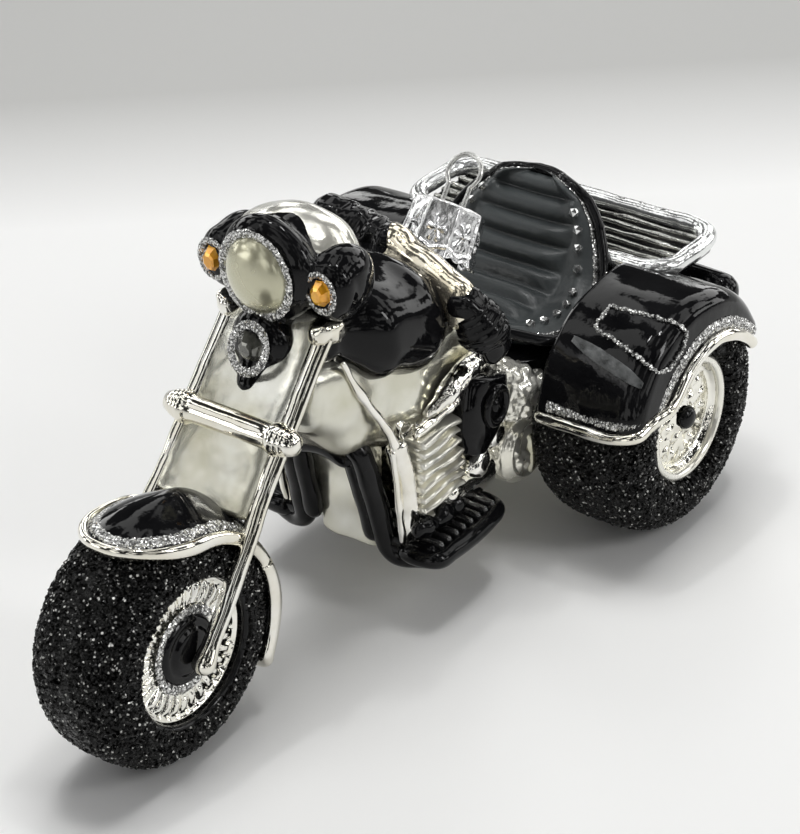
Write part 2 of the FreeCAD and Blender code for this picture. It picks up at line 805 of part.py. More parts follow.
def rear_body(nodes):
    bed = filleted_plate(-rack_half_width + rack_bed_inset, rack_half_width - rack_bed_inset,
                         rack_front_y, rack_front_y + rack_length - rack_bed_inset,
                         body_top_z - rack_bed_thickness, rack_bed_thickness, rack_corner)
    body = lofted_body(body_front_y, body_rear_y - body_front_y, body_half_width, body_low_z,
                       body_top_z - body_low_z, body_station_shares)
    nodes["rear_body"] = body.fuse(bed)
    nodes["axle_body"] = rounded_box(-axle_body_half_width, axle_body_half_width, axle_body_front_y,
                                     axle_body_front_y + axle_body_length, axle_body_low_z,
                                     axle_body_low_z + axle_body_height, axle_body_corner)


def rear_fenders(nodes):
    """A fender over each rear wheel, round at its outer shoulder, with a silver edge."""
    centre = Vector(0, wheelbase, rear_tyre_radius)
    outer = rear_tyre_radius + fender_thickness
    skirt = fender_skirt_share * rear_tyre_radius
    chamfer = fender_round * fender_chamfer_share
    profile = [(fender_inner_x, skirt), (fender_outer_x, skirt), (fender_outer_x, outer - fender_round),
               (fender_outer_x - chamfer, outer - chamfer), (fender_outer_x - fender_round, outer),
               (fender_inner_x, outer)]
    fenders = both_sides(ring_sector(centre, profile, -fender_front_angle, fender_rear_angle))
    nodes["fender_left"], nodes["fender_right"] = fenders.Solids
    edge_x = fender_outer_x - fender_edge_inset
    lip_radius = outer - fender_edge_radius
    parts = [ring_bead(centre, skirt, edge_x, fender_edge_radius, -fender_front_angle, fender_rear_angle)]
    for angle in (-fender_front_angle, fender_rear_angle):
        turn = math.radians(angle)
        radial = Vector(0, math.sin(turn), math.cos(turn))
        low = centre + X_AXIS * edge_x + radial * skirt
        high = centre + X_AXIS * (edge_x - fender_edge_radius) + radial * lip_radius
        inner = centre + X_AXIS * fender_inner_x + radial * lip_radius
        parts.append(capsule(low, high, fender_edge_radius))
        parts.append(capsule(high, inner, fender_edge_radius))
    nodes["fender_edges"] = both_sides(fuse_all(parts))


def rack(nodes):
    rear_y = rack_front_y + rack_length
    outer = filleted_plate(-rack_half_width, rack_half_width, rack_front_y, rear_y,
                           body_top_z, rack_height, rack_corner)
    inner_half = rack_half_width - rack_bar_width
    inner_front = rack_front_y + rack_bar_width
    inner_rear = rear_y - rack_bar_width
    window = filleted_plate(-inner_half, inner_half, inner_front, inner_rear,
                            body_top_z - overrun, rack_height + 2 * overrun, rack_corner - rack_bar_width)
    slats = []
    pitch = (inner_rear - inner_front) / rack_slat_count
    for index in range(rack_slat_count):
        middle = inner_front + (index + 0.5) * pitch
        slats.append(Part.makeBox(2 * rack_half_width, rack_slat_width, rack_slat_height,
                                  Vector(-rack_half_width, middle - rack_slat_width / 2, body_top_z)))
    nodes["rack_frame"] = outer.cut(window)
    nodes["rack_slats"] = Part.makeCompound(slats)


def tail_lamps(nodes):
    inner = Vector(tail_lamp_inner_x, tail_lamp_y, tail_lamp_z)
    outer = Vector(tail_lamp_outer_x, tail_lamp_y, tail_lamp_z)
    nodes["tail_lamps"] = both_sides(capsule(inner, outer, tail_lamp_radius))


def neck(nodes):
    """The open glass neck under the cap."""
    start = on_neck(-neck_root)
    run = neck_root + neck_length
    tube = Part.makeCylinder(neck_radius, run, start, neck_direction())
    bore = Part.makeCylinder(neck_radius - neck_wall, neck_length + overrun, on_neck(0), neck_direction())
    collar = Part.makeCone(collar_radius, neck_radius, collar_length, on_neck(0), neck_direction())
    root = Part.makeCylinder(collar_radius, neck_root, start, neck_direction())
    nodes["neck"] = fuse_all([tube, collar, root]).cut(bore)


def polygon_cup(corner_low, corner_high, low, high):
    """A tapered prism with flat sides along the neck's axis, from two corner radii and two heights."""
    wires = []
    side = X_AXIS
    front = neck_direction().cross(X_AXIS)
    for radius, along in ((corner_low, low), (corner_high, high)):
        points = []
        for index in range(cap_side_count):
            angle = 2 * math.pi * (index + 0.5) / cap_side_count
            points.append(on_neck(along) + side * (radius * math.cos(angle)) + front * (radius * math.sin(angle)))
        wires.append(Part.makePolygon(points + points[:1]))
    return Part.makeLoft(wires, True, True)


def cap_and_loop():
    """The metal cap with its two holes, and the wire loop whose legs go down through them."""
    top = cap_start + cap_height
    outer = polygon_cup(cap_corner_low, cap_corner_high, cap_start, top)
    inner = polygon_cup(cap_corner_low - cap_wall, cap_corner_high - cap_wall,
                        cap_start - overrun, top - cap_wall)
    cap = outer.cut(inner)
    for sign in (1, -1):
        hole_start = on_neck(top - cap_wall - overrun) + X_AXIS * (sign * loop_leg_x)
        cap = cap.cut(Part.makeCylinder(loop_wire_radius + loop_hole_clearance, cap_wall + 2 * overrun,
                                        hole_start, neck_direction()))
    middle = on_neck(top + loop_rise - loop_radius)
    gap_angle = math.degrees(math.asin(loop_leg_x / loop_radius))
    ring = Part.makeTorus(loop_radius, loop_wire_radius, Vector(0, 0, 0), Z_AXIS, -180, 180, 360 - 2 * gap_angle)
    ring.rotate(Vector(0, 0, 0), Z_AXIS, gap_angle)
    ring.rotate(Vector(0, 0, 0), Z_AXIS, -90)
    ring.rotate(Vector(0, 0, 0), X_AXIS, 90 - neck_lean)
    ring.translate(middle)
    parts = [ring]
    drop = loop_radius * math.cos(math.radians(gap_angle))
    for sign in (1, -1):
        joint = middle + X_AXIS * (sign * loop_leg_x) - neck_direction() * drop
        foot = on_neck(top - loop_leg_depth) + X_AXIS * (sign * loop_leg_x)
        parts.append(capsule(foot, joint, loop_wire_radius))
    return cap, fuse_all(parts)


def build_glass():
    """Every section of the glass. Where two meet, the earlier one keeps the space."""
    nodes = {}
    headlamp(nodes)
    horn(nodes)
    front_wheel(nodes)
    front_fender(nodes)
    fork(nodes)
    neck(nodes)
    handlebar(nodes)
    tank(nodes)
    guards = frame_tubes(nodes)
    footboards(nodes)
    nodes["guard_bars"] = guards
    engine_sides(nodes)
    seat(nodes)
    rack(nodes)
    rear_wheels(nodes)
    tail_lamps(nodes)
    rear_fenders(nodes)
    rear_body(nodes)
    spine_and_engine(nodes)
    return nodes


def boxes_meet(first, second):
    """Whether two bounding boxes overlap."""
    a = first.BoundBox
    b = second.BoundBox
    return (a.XMin < b.XMax and b.XMin < a.XMax and a.YMin < b.YMax and b.YMin < a.YMax
            and a.ZMin < b.ZMax and b.ZMin < a.ZMax)


def without(shape, cutters):
    """The shape less every cutter that reaches it. Each of its solids keeps only its largest piece."""
    kept = []
    for solid in shape.Solids:
        for cutter in cutters:
            if boxes_meet(solid, cutter):
                solid = solid.cut(cutter)
        if solid.Solids:
            kept.append(max(solid.Solids, key=lambda piece: piece.Volume))
    return kept[0] if len(kept) == 1 else Part.makeCompound(kept)


def main():
    os.makedirs("parts", exist_ok=True)
    finished = {}
    done = []
    for name, shape in build_glass().items():
        cut = without(shape, done)
        done.append(shape)
        finished[name] = cut
    cap, loop = cap_and_loop()
    finished["cap"] = cap
    finished["loop"] = loop
    rear_end = max(shape.BoundBox.YMax for shape in finished.values())
    to_middle = Vector(0, (front_tyre_radius - rear_end) / 2, 0)
    for name, shape in finished.items():
        shape.translate(to_middle)
        shape.exportStep(os.path.join("parts", name + ".step"))


main()
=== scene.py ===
"""Looks of the glass motor trike ornament: paint, glitter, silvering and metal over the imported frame."""
import json
import math
import random

import bmesh
import bpy
from mathutils import Matrix, Vector, noise


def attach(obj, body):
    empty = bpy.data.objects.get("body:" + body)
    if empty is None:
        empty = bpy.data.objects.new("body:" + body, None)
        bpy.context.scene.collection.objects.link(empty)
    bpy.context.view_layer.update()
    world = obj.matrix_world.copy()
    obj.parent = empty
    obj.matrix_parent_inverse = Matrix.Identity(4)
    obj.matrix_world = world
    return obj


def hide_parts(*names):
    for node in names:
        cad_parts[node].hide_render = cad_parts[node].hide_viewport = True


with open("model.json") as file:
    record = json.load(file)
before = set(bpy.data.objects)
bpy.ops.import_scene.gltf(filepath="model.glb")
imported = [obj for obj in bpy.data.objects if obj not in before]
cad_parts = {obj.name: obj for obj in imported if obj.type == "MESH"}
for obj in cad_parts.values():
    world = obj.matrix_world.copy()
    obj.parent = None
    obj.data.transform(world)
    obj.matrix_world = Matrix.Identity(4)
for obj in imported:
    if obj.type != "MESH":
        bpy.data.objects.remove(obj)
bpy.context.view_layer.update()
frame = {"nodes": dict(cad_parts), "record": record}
nodes = frame["nodes"]

# Lengths are in millimetres from the floor under the front axle, as in the solids
millimetre = 0.001
axle_to_middle = 50.25
merge_distance = 1e-6
sideways = Vector((1, 0, 0))
rearward = Vector((0, 1, 0))
upright = Vector((0, 0, 1))
front_hub = Vector((0, 0, 20))
rear_hub = Vector((27, 94, 21))
fender_wall = 1.6


def spot(x, y, z):
    """A place given in millimetres from the floor under the front axle, in the frame's metres."""
    return Vector((x, y - axle_to_middle, z)) * millimetre


def in_scene(name, data):
    """A new object in the scene around its mesh, lamp or camera."""
    made = bpy.data.objects.new(name, data)
    bpy.context.scene.collection.objects.link(made)
    return made


# Camera at the photograph's viewing angle, its aim and distance in metres
camera_turn = math.radians(38.69)
camera_tilt = math.radians(31.55)
camera_roll = -0.06
camera_aim = Vector((0.00992, -0.0001, 0.0355))
camera_distance = 0.42347


def add_camera():
    sight = bpy.data.cameras.new("camera")
    sight.sensor_fit = "VERTICAL"
    sight.sensor_height = 36.0
    sight.lens = 115.9
    sight.clip_start = 0.01
    holder = in_scene("camera", sight)
    level = math.cos(camera_tilt)
    back = Vector((math.sin(camera_turn) * level, -math.cos(camera_turn) * level, math.sin(camera_tilt)))
    level_right = (-back).cross(upright).normalized()
    level_up = level_right.cross(-back)
    right = level_right * math.cos(camera_roll) + level_up * math.sin(camera_roll)
    up = level_up * math.cos(camera_roll) - level_right * math.sin(camera_roll)
    place = camera_aim + back * camera_distance
    holder.matrix_world = Matrix((
        (right.x, up.x, back.x, place.x),
        (right.y, up.y, back.y, place.y),
        (right.z, up.z, back.z, place.z),
        (0, 0, 0, 1)))
    bpy.context.scene.camera = holder


add_camera()


# Node building
class Painter:
    """Short calls for the nodes of one material or node group."""

    def __init__(self, tree):
        self.tree = tree

    def node(self, kind, **settings):
        made = self.tree.nodes.new(kind)
        for name, value in settings.items():
            setattr(made, name, value)
        return made

    def link(self, source, target):
        self.tree.links.new(source, target)

    def feed(self, socket, value):
        if isinstance(value, bpy.types.NodeSocket):
            self.link(value, socket)
        else:
            socket.default_value = value

    def filled(self, kind, values, **settings):
        """A node whose inputs, by number or name, take the given values."""
        made = self.node(kind, **settings)
        for label, value in values.items():
            self.feed(made.inputs[label], value)
        return made

    def maths(self, operation, first, second=0.0, clamp=False):
        made = self.filled("ShaderNodeMath", {0: first, 1: second}, operation=operation, use_clamp=clamp)
        return made.outputs[0]

    def vector(self, operation, **values):
        sockets = {"first": 0, "second": 1, "scale": "Scale"}
        given = {sockets[label]: value for label, value in values.items()}
        return self.filled("ShaderNodeVectorMath", given, operation=operation).outputs[0]

    def spread(self, value, low, high, out_low, out_high):
        made = self.filled("ShaderNodeMapRange", dict(enumerate((value, low, high, out_low, out_high))))
        return made.outputs[0]

    def blend(self, share, first, second, blend_type="MIX"):
        made = self.filled("ShaderNodeMix", {0: share, 6: first, 7: second}, data_type="RGBA",
                           blend_type=blend_type)
        return made.outputs[2]

    def noise(self, where, scale, detail, roughness):
        made = self.filled("ShaderNodeTexNoise", {"Vector": where, "Scale": scale, "Detail": detail,
                                                  "Roughness": roughness})
        return made.outputs["Fac"]

    def here(self, kind="Object"):
        return self.node("ShaderNodeTexCoord").outputs[kind]

    def along(self, parts, x_share, y_share):
        """How far a place or a way lies along a level direction."""
        return self.maths("ADD", self.maths("MULTIPLY", parts.outputs[0], x_share),
                          self.maths("MULTIPLY", parts.outputs[1], y_share))


def new_group(name, inputs, outputs):
    """A shader node group with a painter for its nodes and its sockets in and out, by name."""
    tree = bpy.data.node_groups.new(name, "ShaderNodeTree")
    for label, kind, value in inputs:
        socket = tree.interface.new_socket(label, in_out="INPUT", socket_type="NodeSocket" + kind)
        socket.default_value = value
    for label, kind in outputs:
        tree.interface.new_socket(label, in_out="OUTPUT", socket_type="NodeSocket" + kind)
    paint = Painter(tree)
    entry = paint.node("NodeGroupInput")
    leave = paint.node("NodeGroupOutput")
    return tree, paint, entry.outputs, leave.inputs


def glitter_group():
    """Flakes stuck on at random tilts: a normal and a brightness for each, a painted glint on a few, and the
    gaps between them.
    """
    tree, paint, given, out = new_group(
        "glitter flakes",
        [("Flakes per metre", "Float", 2000.0), ("Tilt", "Float", 0.9)],
        [("Normal", "Vector"), ("Flake", "Float"), ("Painted glint", "Float"), ("Gap", "Float")])
    cells = paint.filled("ShaderNodeTexVoronoi", {"Vector": paint.here(), "Scale": given["Flakes per metre"]},
                         feature="F1", voronoi_dimensions="3D")
    lean = paint.vector("SUBTRACT", first=cells.outputs["Color"], second=(0.5, 0.5, 0.5))
    push = paint.vector("SCALE", first=lean, scale=given["Tilt"])
    surface = paint.node("ShaderNodeNewGeometry").outputs["Normal"]
    leaning = paint.vector("ADD", first=surface, second=push)
    paint.link(paint.vector("NORMALIZE", first=leaning), out["Normal"])
    split = paint.filled("ShaderNodeSeparateColor", {0: cells.outputs["Color"]})
    paint.link(split.outputs[0], out["Flake"])
    # A few flakes are picked for a painted glint: near-white colour in place of their own tone
    paint.link(paint.spread(split.outputs[1], 0.93, 0.96, 0.0, 1.0), out["Painted glint"])
    paint.link(paint.spread(cells.outputs["Distance"], 0.45, 0.75, 0.0, 1.0), out["Gap"])
    return tree


def ripple_group():
    """The slow waves and small dents of mouth-blown glass."""
    tree, paint, given, out = new_group(
        "blown ripple",
        [("Wave scale", "Float", 120.0), ("Wave height", "Float", 0.3), ("Dent scale", "Float", 600.0),
         ("Dent height", "Float", 0.1)],
        [("Normal", "Vector")])
    place = paint.here()
    waves = paint.noise(place, given["Wave scale"], 2.0, 0.4)
    dents = paint.noise(place, given["Dent scale"], 3.0, 0.55)
    slow = paint.filled("ShaderNodeBump", {"Strength": given["Wave height"], "Distance": 0.001,
                                           "Height": waves})
    small = paint.filled("ShaderNodeBump", {"Strength": given["Dent height"], "Distance": 0.0003,
                                            "Height": dents, "Normal": slow.outputs[0]})
    paint.link(small.outputs[0], out["Normal"])
    return tree


glitter_flakes = glitter_group()
blown_ripple = ripple_group()


def new_material(name):
    """A material with its surface shader and a painter for its nodes."""
    material = bpy.data.materials.new(name)
    material.use_nodes = True
    paint = Painter(material.node_tree)
    return material, paint, material.node_tree.nodes["Principled BSDF"]


def place_group(paint, group, **values):
    made = paint.node("ShaderNodeGroup", node_tree=group)
    for label, value in values.items():
        made.inputs[label.replace("_", " ")].default_value = value
    return made.outputs


def paint_glass(name, colour, roughness, waves, dents, coat=0.0, warm=None, metallic=0.0, tone_scale=90.0,
                shine=0.5, edge=None):
    """Paint or silvering on rippled glass, with a second tone that drifts over it and a third at its rims: a
    painted darker reflection where the surface turns away from the view.
    """
    material, paint, shader = new_material(name)
    ripple = place_group(paint, blown_ripple, Wave_height=waves, Dent_height=dents)
    paint.link(ripple["Normal"], shader.inputs["Normal"])
    drift = paint.spread(paint.noise(paint.here(), tone_scale, 4.0, 0.6), 0.35, 0.65, 0.0, 1.0)
    second = warm or tuple(min(1.0, part * 1.25 + 0.004) for part in colour[:3]) + (1.0,)
    tone = paint.blend(drift, colour, second)
    # The edge tone is a painted reflection, laid on where the surface turns away from the view
    if edge:
        facing = paint.node("ShaderNodeLayerWeight").outputs["Facing"]
        tone = paint.blend(paint.spread(facing, 0.35, 0.95, 0.0, 1.0), tone, edge)
    paint.link(tone, shader.inputs["Base Color"])
    paint.link(paint.spread(drift, 0.0, 1.0, roughness * 0.8, roughness * 1.25), shader.inputs["Roughness"])
    shader.inputs["Metallic"].default_value = metallic
    shader.inputs["Coat Weight"].default_value = coat
    shader.inputs["Coat Roughness"].default_value = 0.03
    shader.inputs["Specular IOR Level"].default_value = shine
    return material


def glitter_material(name, dark, bright, flakes, tilt, roughness, metallic, shine, painted_glint):
    """Loose flakes in a bed of glue, each with its own tone and tilt, and a painted glint of near-white
    colour on a few.
    """
    material, paint, shader = new_material(name)
    flake = place_group(paint, glitter_flakes, Flakes_per_metre=flakes, Tilt=tilt)
    tone = paint.blend(flake["Flake"], dark, bright)
    # Painted glint: the picked flakes take the glint colour in place of their tone
    lit = paint.blend(flake["Painted glint"], tone, painted_glint)
    shade = paint.blend(flake["Gap"], lit, tuple(part * 0.25 for part in dark[:3]) + (1.0,))
    paint.link(shade, shader.inputs["Base Color"])
    paint.link(flake["Normal"], shader.inputs["Normal"])
    paint.link(paint.spread(flake["Flake"], 0.0, 1.0, roughness * 1.3, roughness * 0.7),
               shader.inputs["Roughness"])
    shader.inputs["Metallic"].default_value = metallic
    shader.inputs["Specular IOR Level"].default_value = shine
    return material


black_gloss = paint_glass("black gloss paint", (0.003, 0.003, 0.0035, 1), roughness=0.03, waves=0.25,
                          dents=0.1, shine=0.22)
black_satin = paint_glass("black satin paint", (0.026, 0.030, 0.031, 1), roughness=0.36, waves=0.15,
                          dents=0.35, warm=(0.040, 0.046, 0.047, 1))
brushed_satin = paint_glass("brushed satin paint", (0.030, 0.032, 0.032, 1), roughness=0.34, waves=0.5,
                            dents=0.6, warm=(0.13, 0.135, 0.135, 1), tone_scale=420.0)
# The ribs' paint is lighter grey than the black glass: a painted sheen, on top of the reflections the render
# gives it
rib_paint = paint_glass("black paint lightened for sheen", (0.09, 0.09, 0.09, 1), roughness=0.12, waves=0.3, dents=0.3,
                        coat=1.0, metallic=0.7, warm=(0.15, 0.15, 0.15, 1))
silver_mirror = paint_glass("mirror silvering", (0.95, 0.94, 0.90, 1), roughness=0.045, waves=0.8,
                            dents=0.5, metallic=1.0, warm=(0.86, 0.84, 0.75, 1))
silver_smooth = paint_glass("smooth silvering", (0.94, 0.93, 0.89, 1), roughness=0.05, waves=0.3, dents=0.1,
                            metallic=1.0, warm=(0.80, 0.77, 0.67, 1))
gold_silver = paint_glass("golden silvering", (0.93, 0.89, 0.76, 1), roughness=0.10, waves=0.35, dents=0.2,
                          metallic=0.9, warm=(0.74, 0.65, 0.48, 1))
# Its edge tone is a painted dark reflection at the rims
silver_satin = paint_glass("pearly satin silvering", (0.88, 0.88, 0.82, 1), roughness=0.20, waves=0.6,
                           dents=0.1, metallic=0.80, warm=(0.55, 0.53, 0.40, 1), coat=0.3, tone_scale=48.0,
                           edge=(0.30, 0.27, 0.17, 1))
cream_silver = paint_glass("cream silvering", (0.88, 0.86, 0.76, 1), roughness=0.16, waves=0.3, dents=0.15,
                           metallic=0.7, warm=(0.90, 0.89, 0.82, 1), coat=0.5)
rack_silver = paint_glass("silver paint", (0.88, 0.89, 0.88, 1), roughness=0.15, waves=0.4, dents=0.3,
                          metallic=0.85, warm=(0.78, 0.79, 0.79, 1))
# A darker copy of the rack's silver paint for the slats: painted shade
slat_silver = paint_glass("silver paint darkened for shade", (0.60, 0.60, 0.57, 1), roughness=0.12, waves=0.8,
                          dents=0.6, metallic=1.0, warm=(0.30, 0.30, 0.28, 1))
lens_pearl = paint_glass("pearly lens", (0.52, 0.51, 0.36, 1), roughness=0.24, waves=0.15, dents=0.05,
                         metallic=0.7, warm=(0.62, 0.60, 0.44, 1), coat=0.8, tone_scale=60.0)
cap_tin = paint_glass("stamped tin", (0.88, 0.88, 0.88, 1), roughness=0.22, waves=0.08, dents=0.4,
                      metallic=1.0, warm=(0.62, 0.62, 0.63, 1), tone_scale=420.0)
wire_steel = paint_glass("drawn steel wire", (0.74, 0.74, 0.72, 1), roughness=0.25, waves=0.05, dents=0.3,
                         metallic=1.0, warm=(0.60, 0.60, 0.58, 1), tone_scale=800.0)
amber_glass = paint_glass("amber gem", (0.85, 0.33, 0.01, 1), roughness=0.05, waves=0.1, dents=0.1,
                          metallic=0.35, warm=(1.0, 0.52, 0.03, 1), coat=1.0, tone_scale=500.0)
smoke_glass = paint_glass("smoke gem", (0.05, 0.05, 0.045, 1), roughness=0.04, waves=0.1, dents=0.1,
                          metallic=0.5, warm=(0.20, 0.20, 0.17, 1), coat=1.0, tone_scale=500.0)
clear_crystal = paint_glass("clear crystal", (0.95, 0.95, 0.94, 1), roughness=0.04, waves=0.2, dents=0.2,
                            metallic=0.9, warm=(0.55, 0.56, 0.56, 1), coat=1.0, tone_scale=1400.0)
# The glint colour of each glitter is a painted glint, laid on a few flakes
black_glitter = glitter_material("black glitter", (0.0005, 0.0005, 0.0005, 1), (0.014, 0.014, 0.0135, 1),
                                 flakes=2800.0, tilt=1.5, roughness=0.22, metallic=0.3, shine=0.25,
                                 painted_glint=(0.90, 0.90, 0.86, 1))
silver_glitter = glitter_material("silver glitter", (0.50, 0.50, 0.49, 1), (1.0, 1.0, 0.98, 1),
                                  flakes=3000.0, tilt=1.1, roughness=0.20, metallic=0.75, shine=0.8,
                                  painted_glint=(1.0, 1.0, 0.97, 1))

slot_material = {
    "black_glass": black_gloss, "black_matt": black_satin, "black_glitter": black_glitter,
    "silvered_glass": silver_mirror, "satin_silver": silver_satin, "silver_rack": rack_silver,
    "amber_gem": amber_glass, "dark_gem": smoke_glass, "clear_gem": clear_crystal, "lens": lens_pearl,
    "cap_metal": cap_tin, "loop_wire": wire_steel}


def dress_nodes():
    """Gives every node of the frame the finish of its slot."""
    for part in frame["record"]["subparts"]:
        mesh = nodes[part["node"]].data
        mesh.materials.clear()
        mesh.materials.append(slot_material[part["material_slot"]])


dress_nodes()


# Shaping
end_roundness = 3.2


def swell(value, middle, width):
    """One at the middle, fading softly to nothing about two widths away."""
    return math.exp(-((value - middle) / width) ** 2)


def shares(count):
    """Even steps from nothing to the whole."""
    return [step / count for step in range(count + 1)]


def slow_share(share):
    """The share of a way that starts and ends slowly."""
    return 0.5 - 0.5 * math.cos(math.pi * share)


def end_fade(share, roundness):
    """How far a closed body has swelled at a share of its length, round at both ends."""
    return min(1.0, math.sin(math.pi * min(1.0, max(0.0, share))) * roundness) ** 0.5


def at_share(given, share):
    """A value that stays the same or changes along a shape."""
    return given(share) if callable(given) else given


def lean_way(degrees):
    """The way at an angle from straight up, rearwards positive."""
    return Vector((0, math.sin(math.radians(degrees)), math.cos(math.radians(degrees))))


def around(hub, x, radius, turn):
    """A place at a radius from an axle, at an angle from straight up, rearwards positive."""
    return Vector((x, hub.y + radius * math.sin(turn), hub.z + radius * math.cos(turn)))


def oval(centre, first, second, count):
    """Places around an oval, from its two half axes."""
    return [centre + first * math.cos(turn) + second * math.sin(turn)
            for turn in (2 * math.pi * step / count for step in range(count))]


def bent_sheet(columns, rows, place):
    """A grid bent into shape: place(u, v) puts each vertex, and edges that meet are joined."""
    bm = bmesh.new()
    bmesh.ops.create_grid(bm, x_segments=columns, y_segments=rows, size=0.5)
    for vert in bm.verts:
        vert.co = place(vert.co.x + 0.5, vert.co.y + 0.5)
    bmesh.ops.remove_doubles(bm, verts=bm.verts, dist=merge_distance)
    return bm


def turn_outwards(bm, middle):
    """Faces an open sheet away from a point."""
    bmesh.ops.recalc_face_normals(bm, faces=bm.faces)
    bm.normal_update()
    if sum(face.normal.dot(face.calc_center_median() - middle) for face in bm.faces) < 0:
        bmesh.ops.reverse_faces(bm, faces=bm.faces)
    bm.normal_update()


def give_wall(bm, middle, wall):
    """Turns an open sheet into a shell whose wall lies inside it."""
    turn_outwards(bm, middle)
    bmesh.ops.solidify(bm, geom=bm.faces[:], thickness=wall * millimetre)


def roughen(bm, amount, seed):
    """Moves every vertex a little at random, for a coat of loose flakes."""
    dice = random.Random(seed)
    for vert in bm.verts:
        vert.co += Vector([dice.uniform(-1, 1) for _ in range(3)]) * amount * millimetre


def ripple_mesh(bm, amount, size, seed):
    """Slow waves over a surface, as hand-blown glass has."""
    bm.normal_update()
    shift = Vector((seed, seed * 0.7, -seed))
    moves = [vert.normal * noise.noise(vert.co / (size * millimetre) + shift) * amount * millimetre
             for vert in bm.verts]
    for vert, move in zip(bm.verts, moves):
        vert.co += move


def crumple(bm, seed, deep):
    """Crumpled relief pressed into silvered glass, coarse and fine."""
    ripple_mesh(bm, deep, 3.2, seed)
    ripple_mesh(bm, deep * 0.45, 1.2, seed + 3)


def add_piece(name, bm, slot, stands_for=(), body="glass", smooth=True, material=None):
    """A finished piece from its mesh, riding on its body."""
    bmesh.ops.recalc_face_normals(bm, faces=bm.faces)
    mesh = bpy.data.meshes.new(name)
    bm.to_mesh(mesh)
    bm.free()
    for face in mesh.polygons:
        face.use_smooth = smooth
    mesh.materials.append(material or slot_material[slot])
    piece = in_scene(name, mesh)
    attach(piece, body)
    if stands_for:
        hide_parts(*stands_for)


def add_glitter(name, bm):
    """Silver flakes stuck on over the paint."""
    add_piece(name, bm, "black_glitter", smooth=False, material=silver_glitter)


def joined(shapes):
    """One mesh from several, and its own parts stay apart."""
    whole = bmesh.new()
    for shape in shapes:
        mesh = bpy.data.meshes.new("part")
        shape.to_mesh(mesh)
        shape.free()
        whole.from_mesh(mesh)
        bpy.data.meshes.remove(mesh)
    return whole


def mirror_image(bm):
    """The same shape on the trike's other side."""
    other = bm.copy()
    for vert in other.verts:
        vert.co.x = -vert.co.x
    bmesh.ops.reverse_faces(other, faces=other.faces)
    return other


def mirrored(bm):
    """The shape together with its mirror image."""
    return joined([bm, mirror_image(bm)])


def melted(shapes, voxel, rounds):
    """Overlapping closed shapes run together and softened, as glass is in its mould."""
    whole = joined(shapes)
    mesh = bpy.data.meshes.new("melt")
    whole.to_mesh(mesh)
    whole.free()
    holder = in_scene("melt", mesh)
    skin = holder.modifiers.new("skin", "REMESH")
    skin.mode = "VOXEL"
    skin.voxel_size = voxel * millimetre
    graph = bpy.context.evaluated_depsgraph_get()
    bm = bmesh.new()
    bm.from_mesh(holder.evaluated_get(graph).to_mesh())
    bpy.data.objects.remove(holder)
    bpy.data.meshes.remove(mesh)
    for _ in range(rounds):
        bmesh.ops.smooth_vert(bm, verts=bm.verts, factor=0.5, use_axis_x=True, use_axis_y=True,
                              use_axis_z=True)
    return bm


def smooth_path(points, steps, closed=False):
    """Points along a smooth curve through the given ones."""
    spots = [Vector(point) for point in points]
    count = len(spots)
    made = []
    for index in range(count if closed else count - 1):
        b, c = spots[index], spots[(index + 1) % count]
        a = spots[index - 1] if closed or index > 0 else b * 2 - c
        d = spots[(index + 2) % count] if closed or index + 2 < count else c * 2 - b
        for step in range(steps):
            t = step / steps
            made.append((b * 2 + (c - a) * t + (a * 2 - b * 5 + c * 4 - d) * t * t
                         + (b * 3 - a - c * 3 + d) * t ** 3) * 0.5)
    return made if closed else made + [spots[-1]]


def dome_rings(ring, sign, count):
    """The rings that close a rod's end, from the rod outwards."""
    point, way, radius = ring
    turns = [0.5 * math.pi * (step + 1) / count for step in range(count)]
    return [(point + way * sign * radius * math.sin(turn), way, max(radius * math.cos(turn), merge_distance))
            for turn in turns]


def tube(path, radius, sides, closed=False, flat=1.0, across=upright, cap_rings=4):
    """A round or flattened rod along a path; its radius is a number or changes with the share."""
    points = [Vector(point) for point in path]
    last = len(points) - 1
    rings = []
    for index, point in enumerate(points):
        before = points[index - 1] if closed or index > 0 else point
        after = points[(index + 1) % len(points)] if closed or index < last else point
        rings.append((point, (after - before).normalized(), at_share(radius, index / max(1, last))))
    if closed:
        rings.append(rings[0])
    else:
        rings = dome_rings(rings[0], -1, cap_rings)[::-1] + rings + dome_rings(rings[-1], 1, cap_rings)

    def place(u, v):
        point, way, reach = rings[round(v * (len(rings) - 1))]
        up = (Vector(across) - way * way.dot(Vector(across))).normalized()
        side = way.cross(up)
        turn = 2 * math.pi * u
        return spot(*(point + side * reach * math.cos(turn) + up * reach * flat * math.sin(turn)))

    return bent_sheet(sides, len(rings) - 1, place)


def ball(centre, x_radius, y_radius, z_radius, detail, turn=0.0):
    """An egg shape in millimetres, turned about the upright through its centre."""
    bm = bmesh.new()
    bmesh.ops.create_uvsphere(bm, u_segments=detail, v_segments=detail // 2, radius=millimetre)
    size = Matrix.Diagonal((x_radius, y_radius, z_radius, 1))
    turned = Matrix.Rotation(math.radians(turn), 4, "Z") @ size
    bmesh.ops.transform(bm, verts=bm.verts, matrix=Matrix.Translation(spot(*centre)) @ turned)
    return bm


def bead(place, radius, turn=Matrix()):
    """A small stone or dot with few faces."""
    stone = bmesh.new()
    bmesh.ops.create_icosphere(stone, subdivisions=1, radius=radius * millimetre)
    bmesh.ops.transform(stone, verts=stone.verts, matrix=Matrix.Translation(spot(*place)) @ turn)
    return stone


def oblong(angle, power):
    """Shares across and up of a point on a rounded oblong, from its angle."""
    across, up = math.cos(angle), math.sin(angle)
    return (math.copysign(abs(across) ** (2 / power), across), math.copysign(abs(up) ** (2 / power), up))


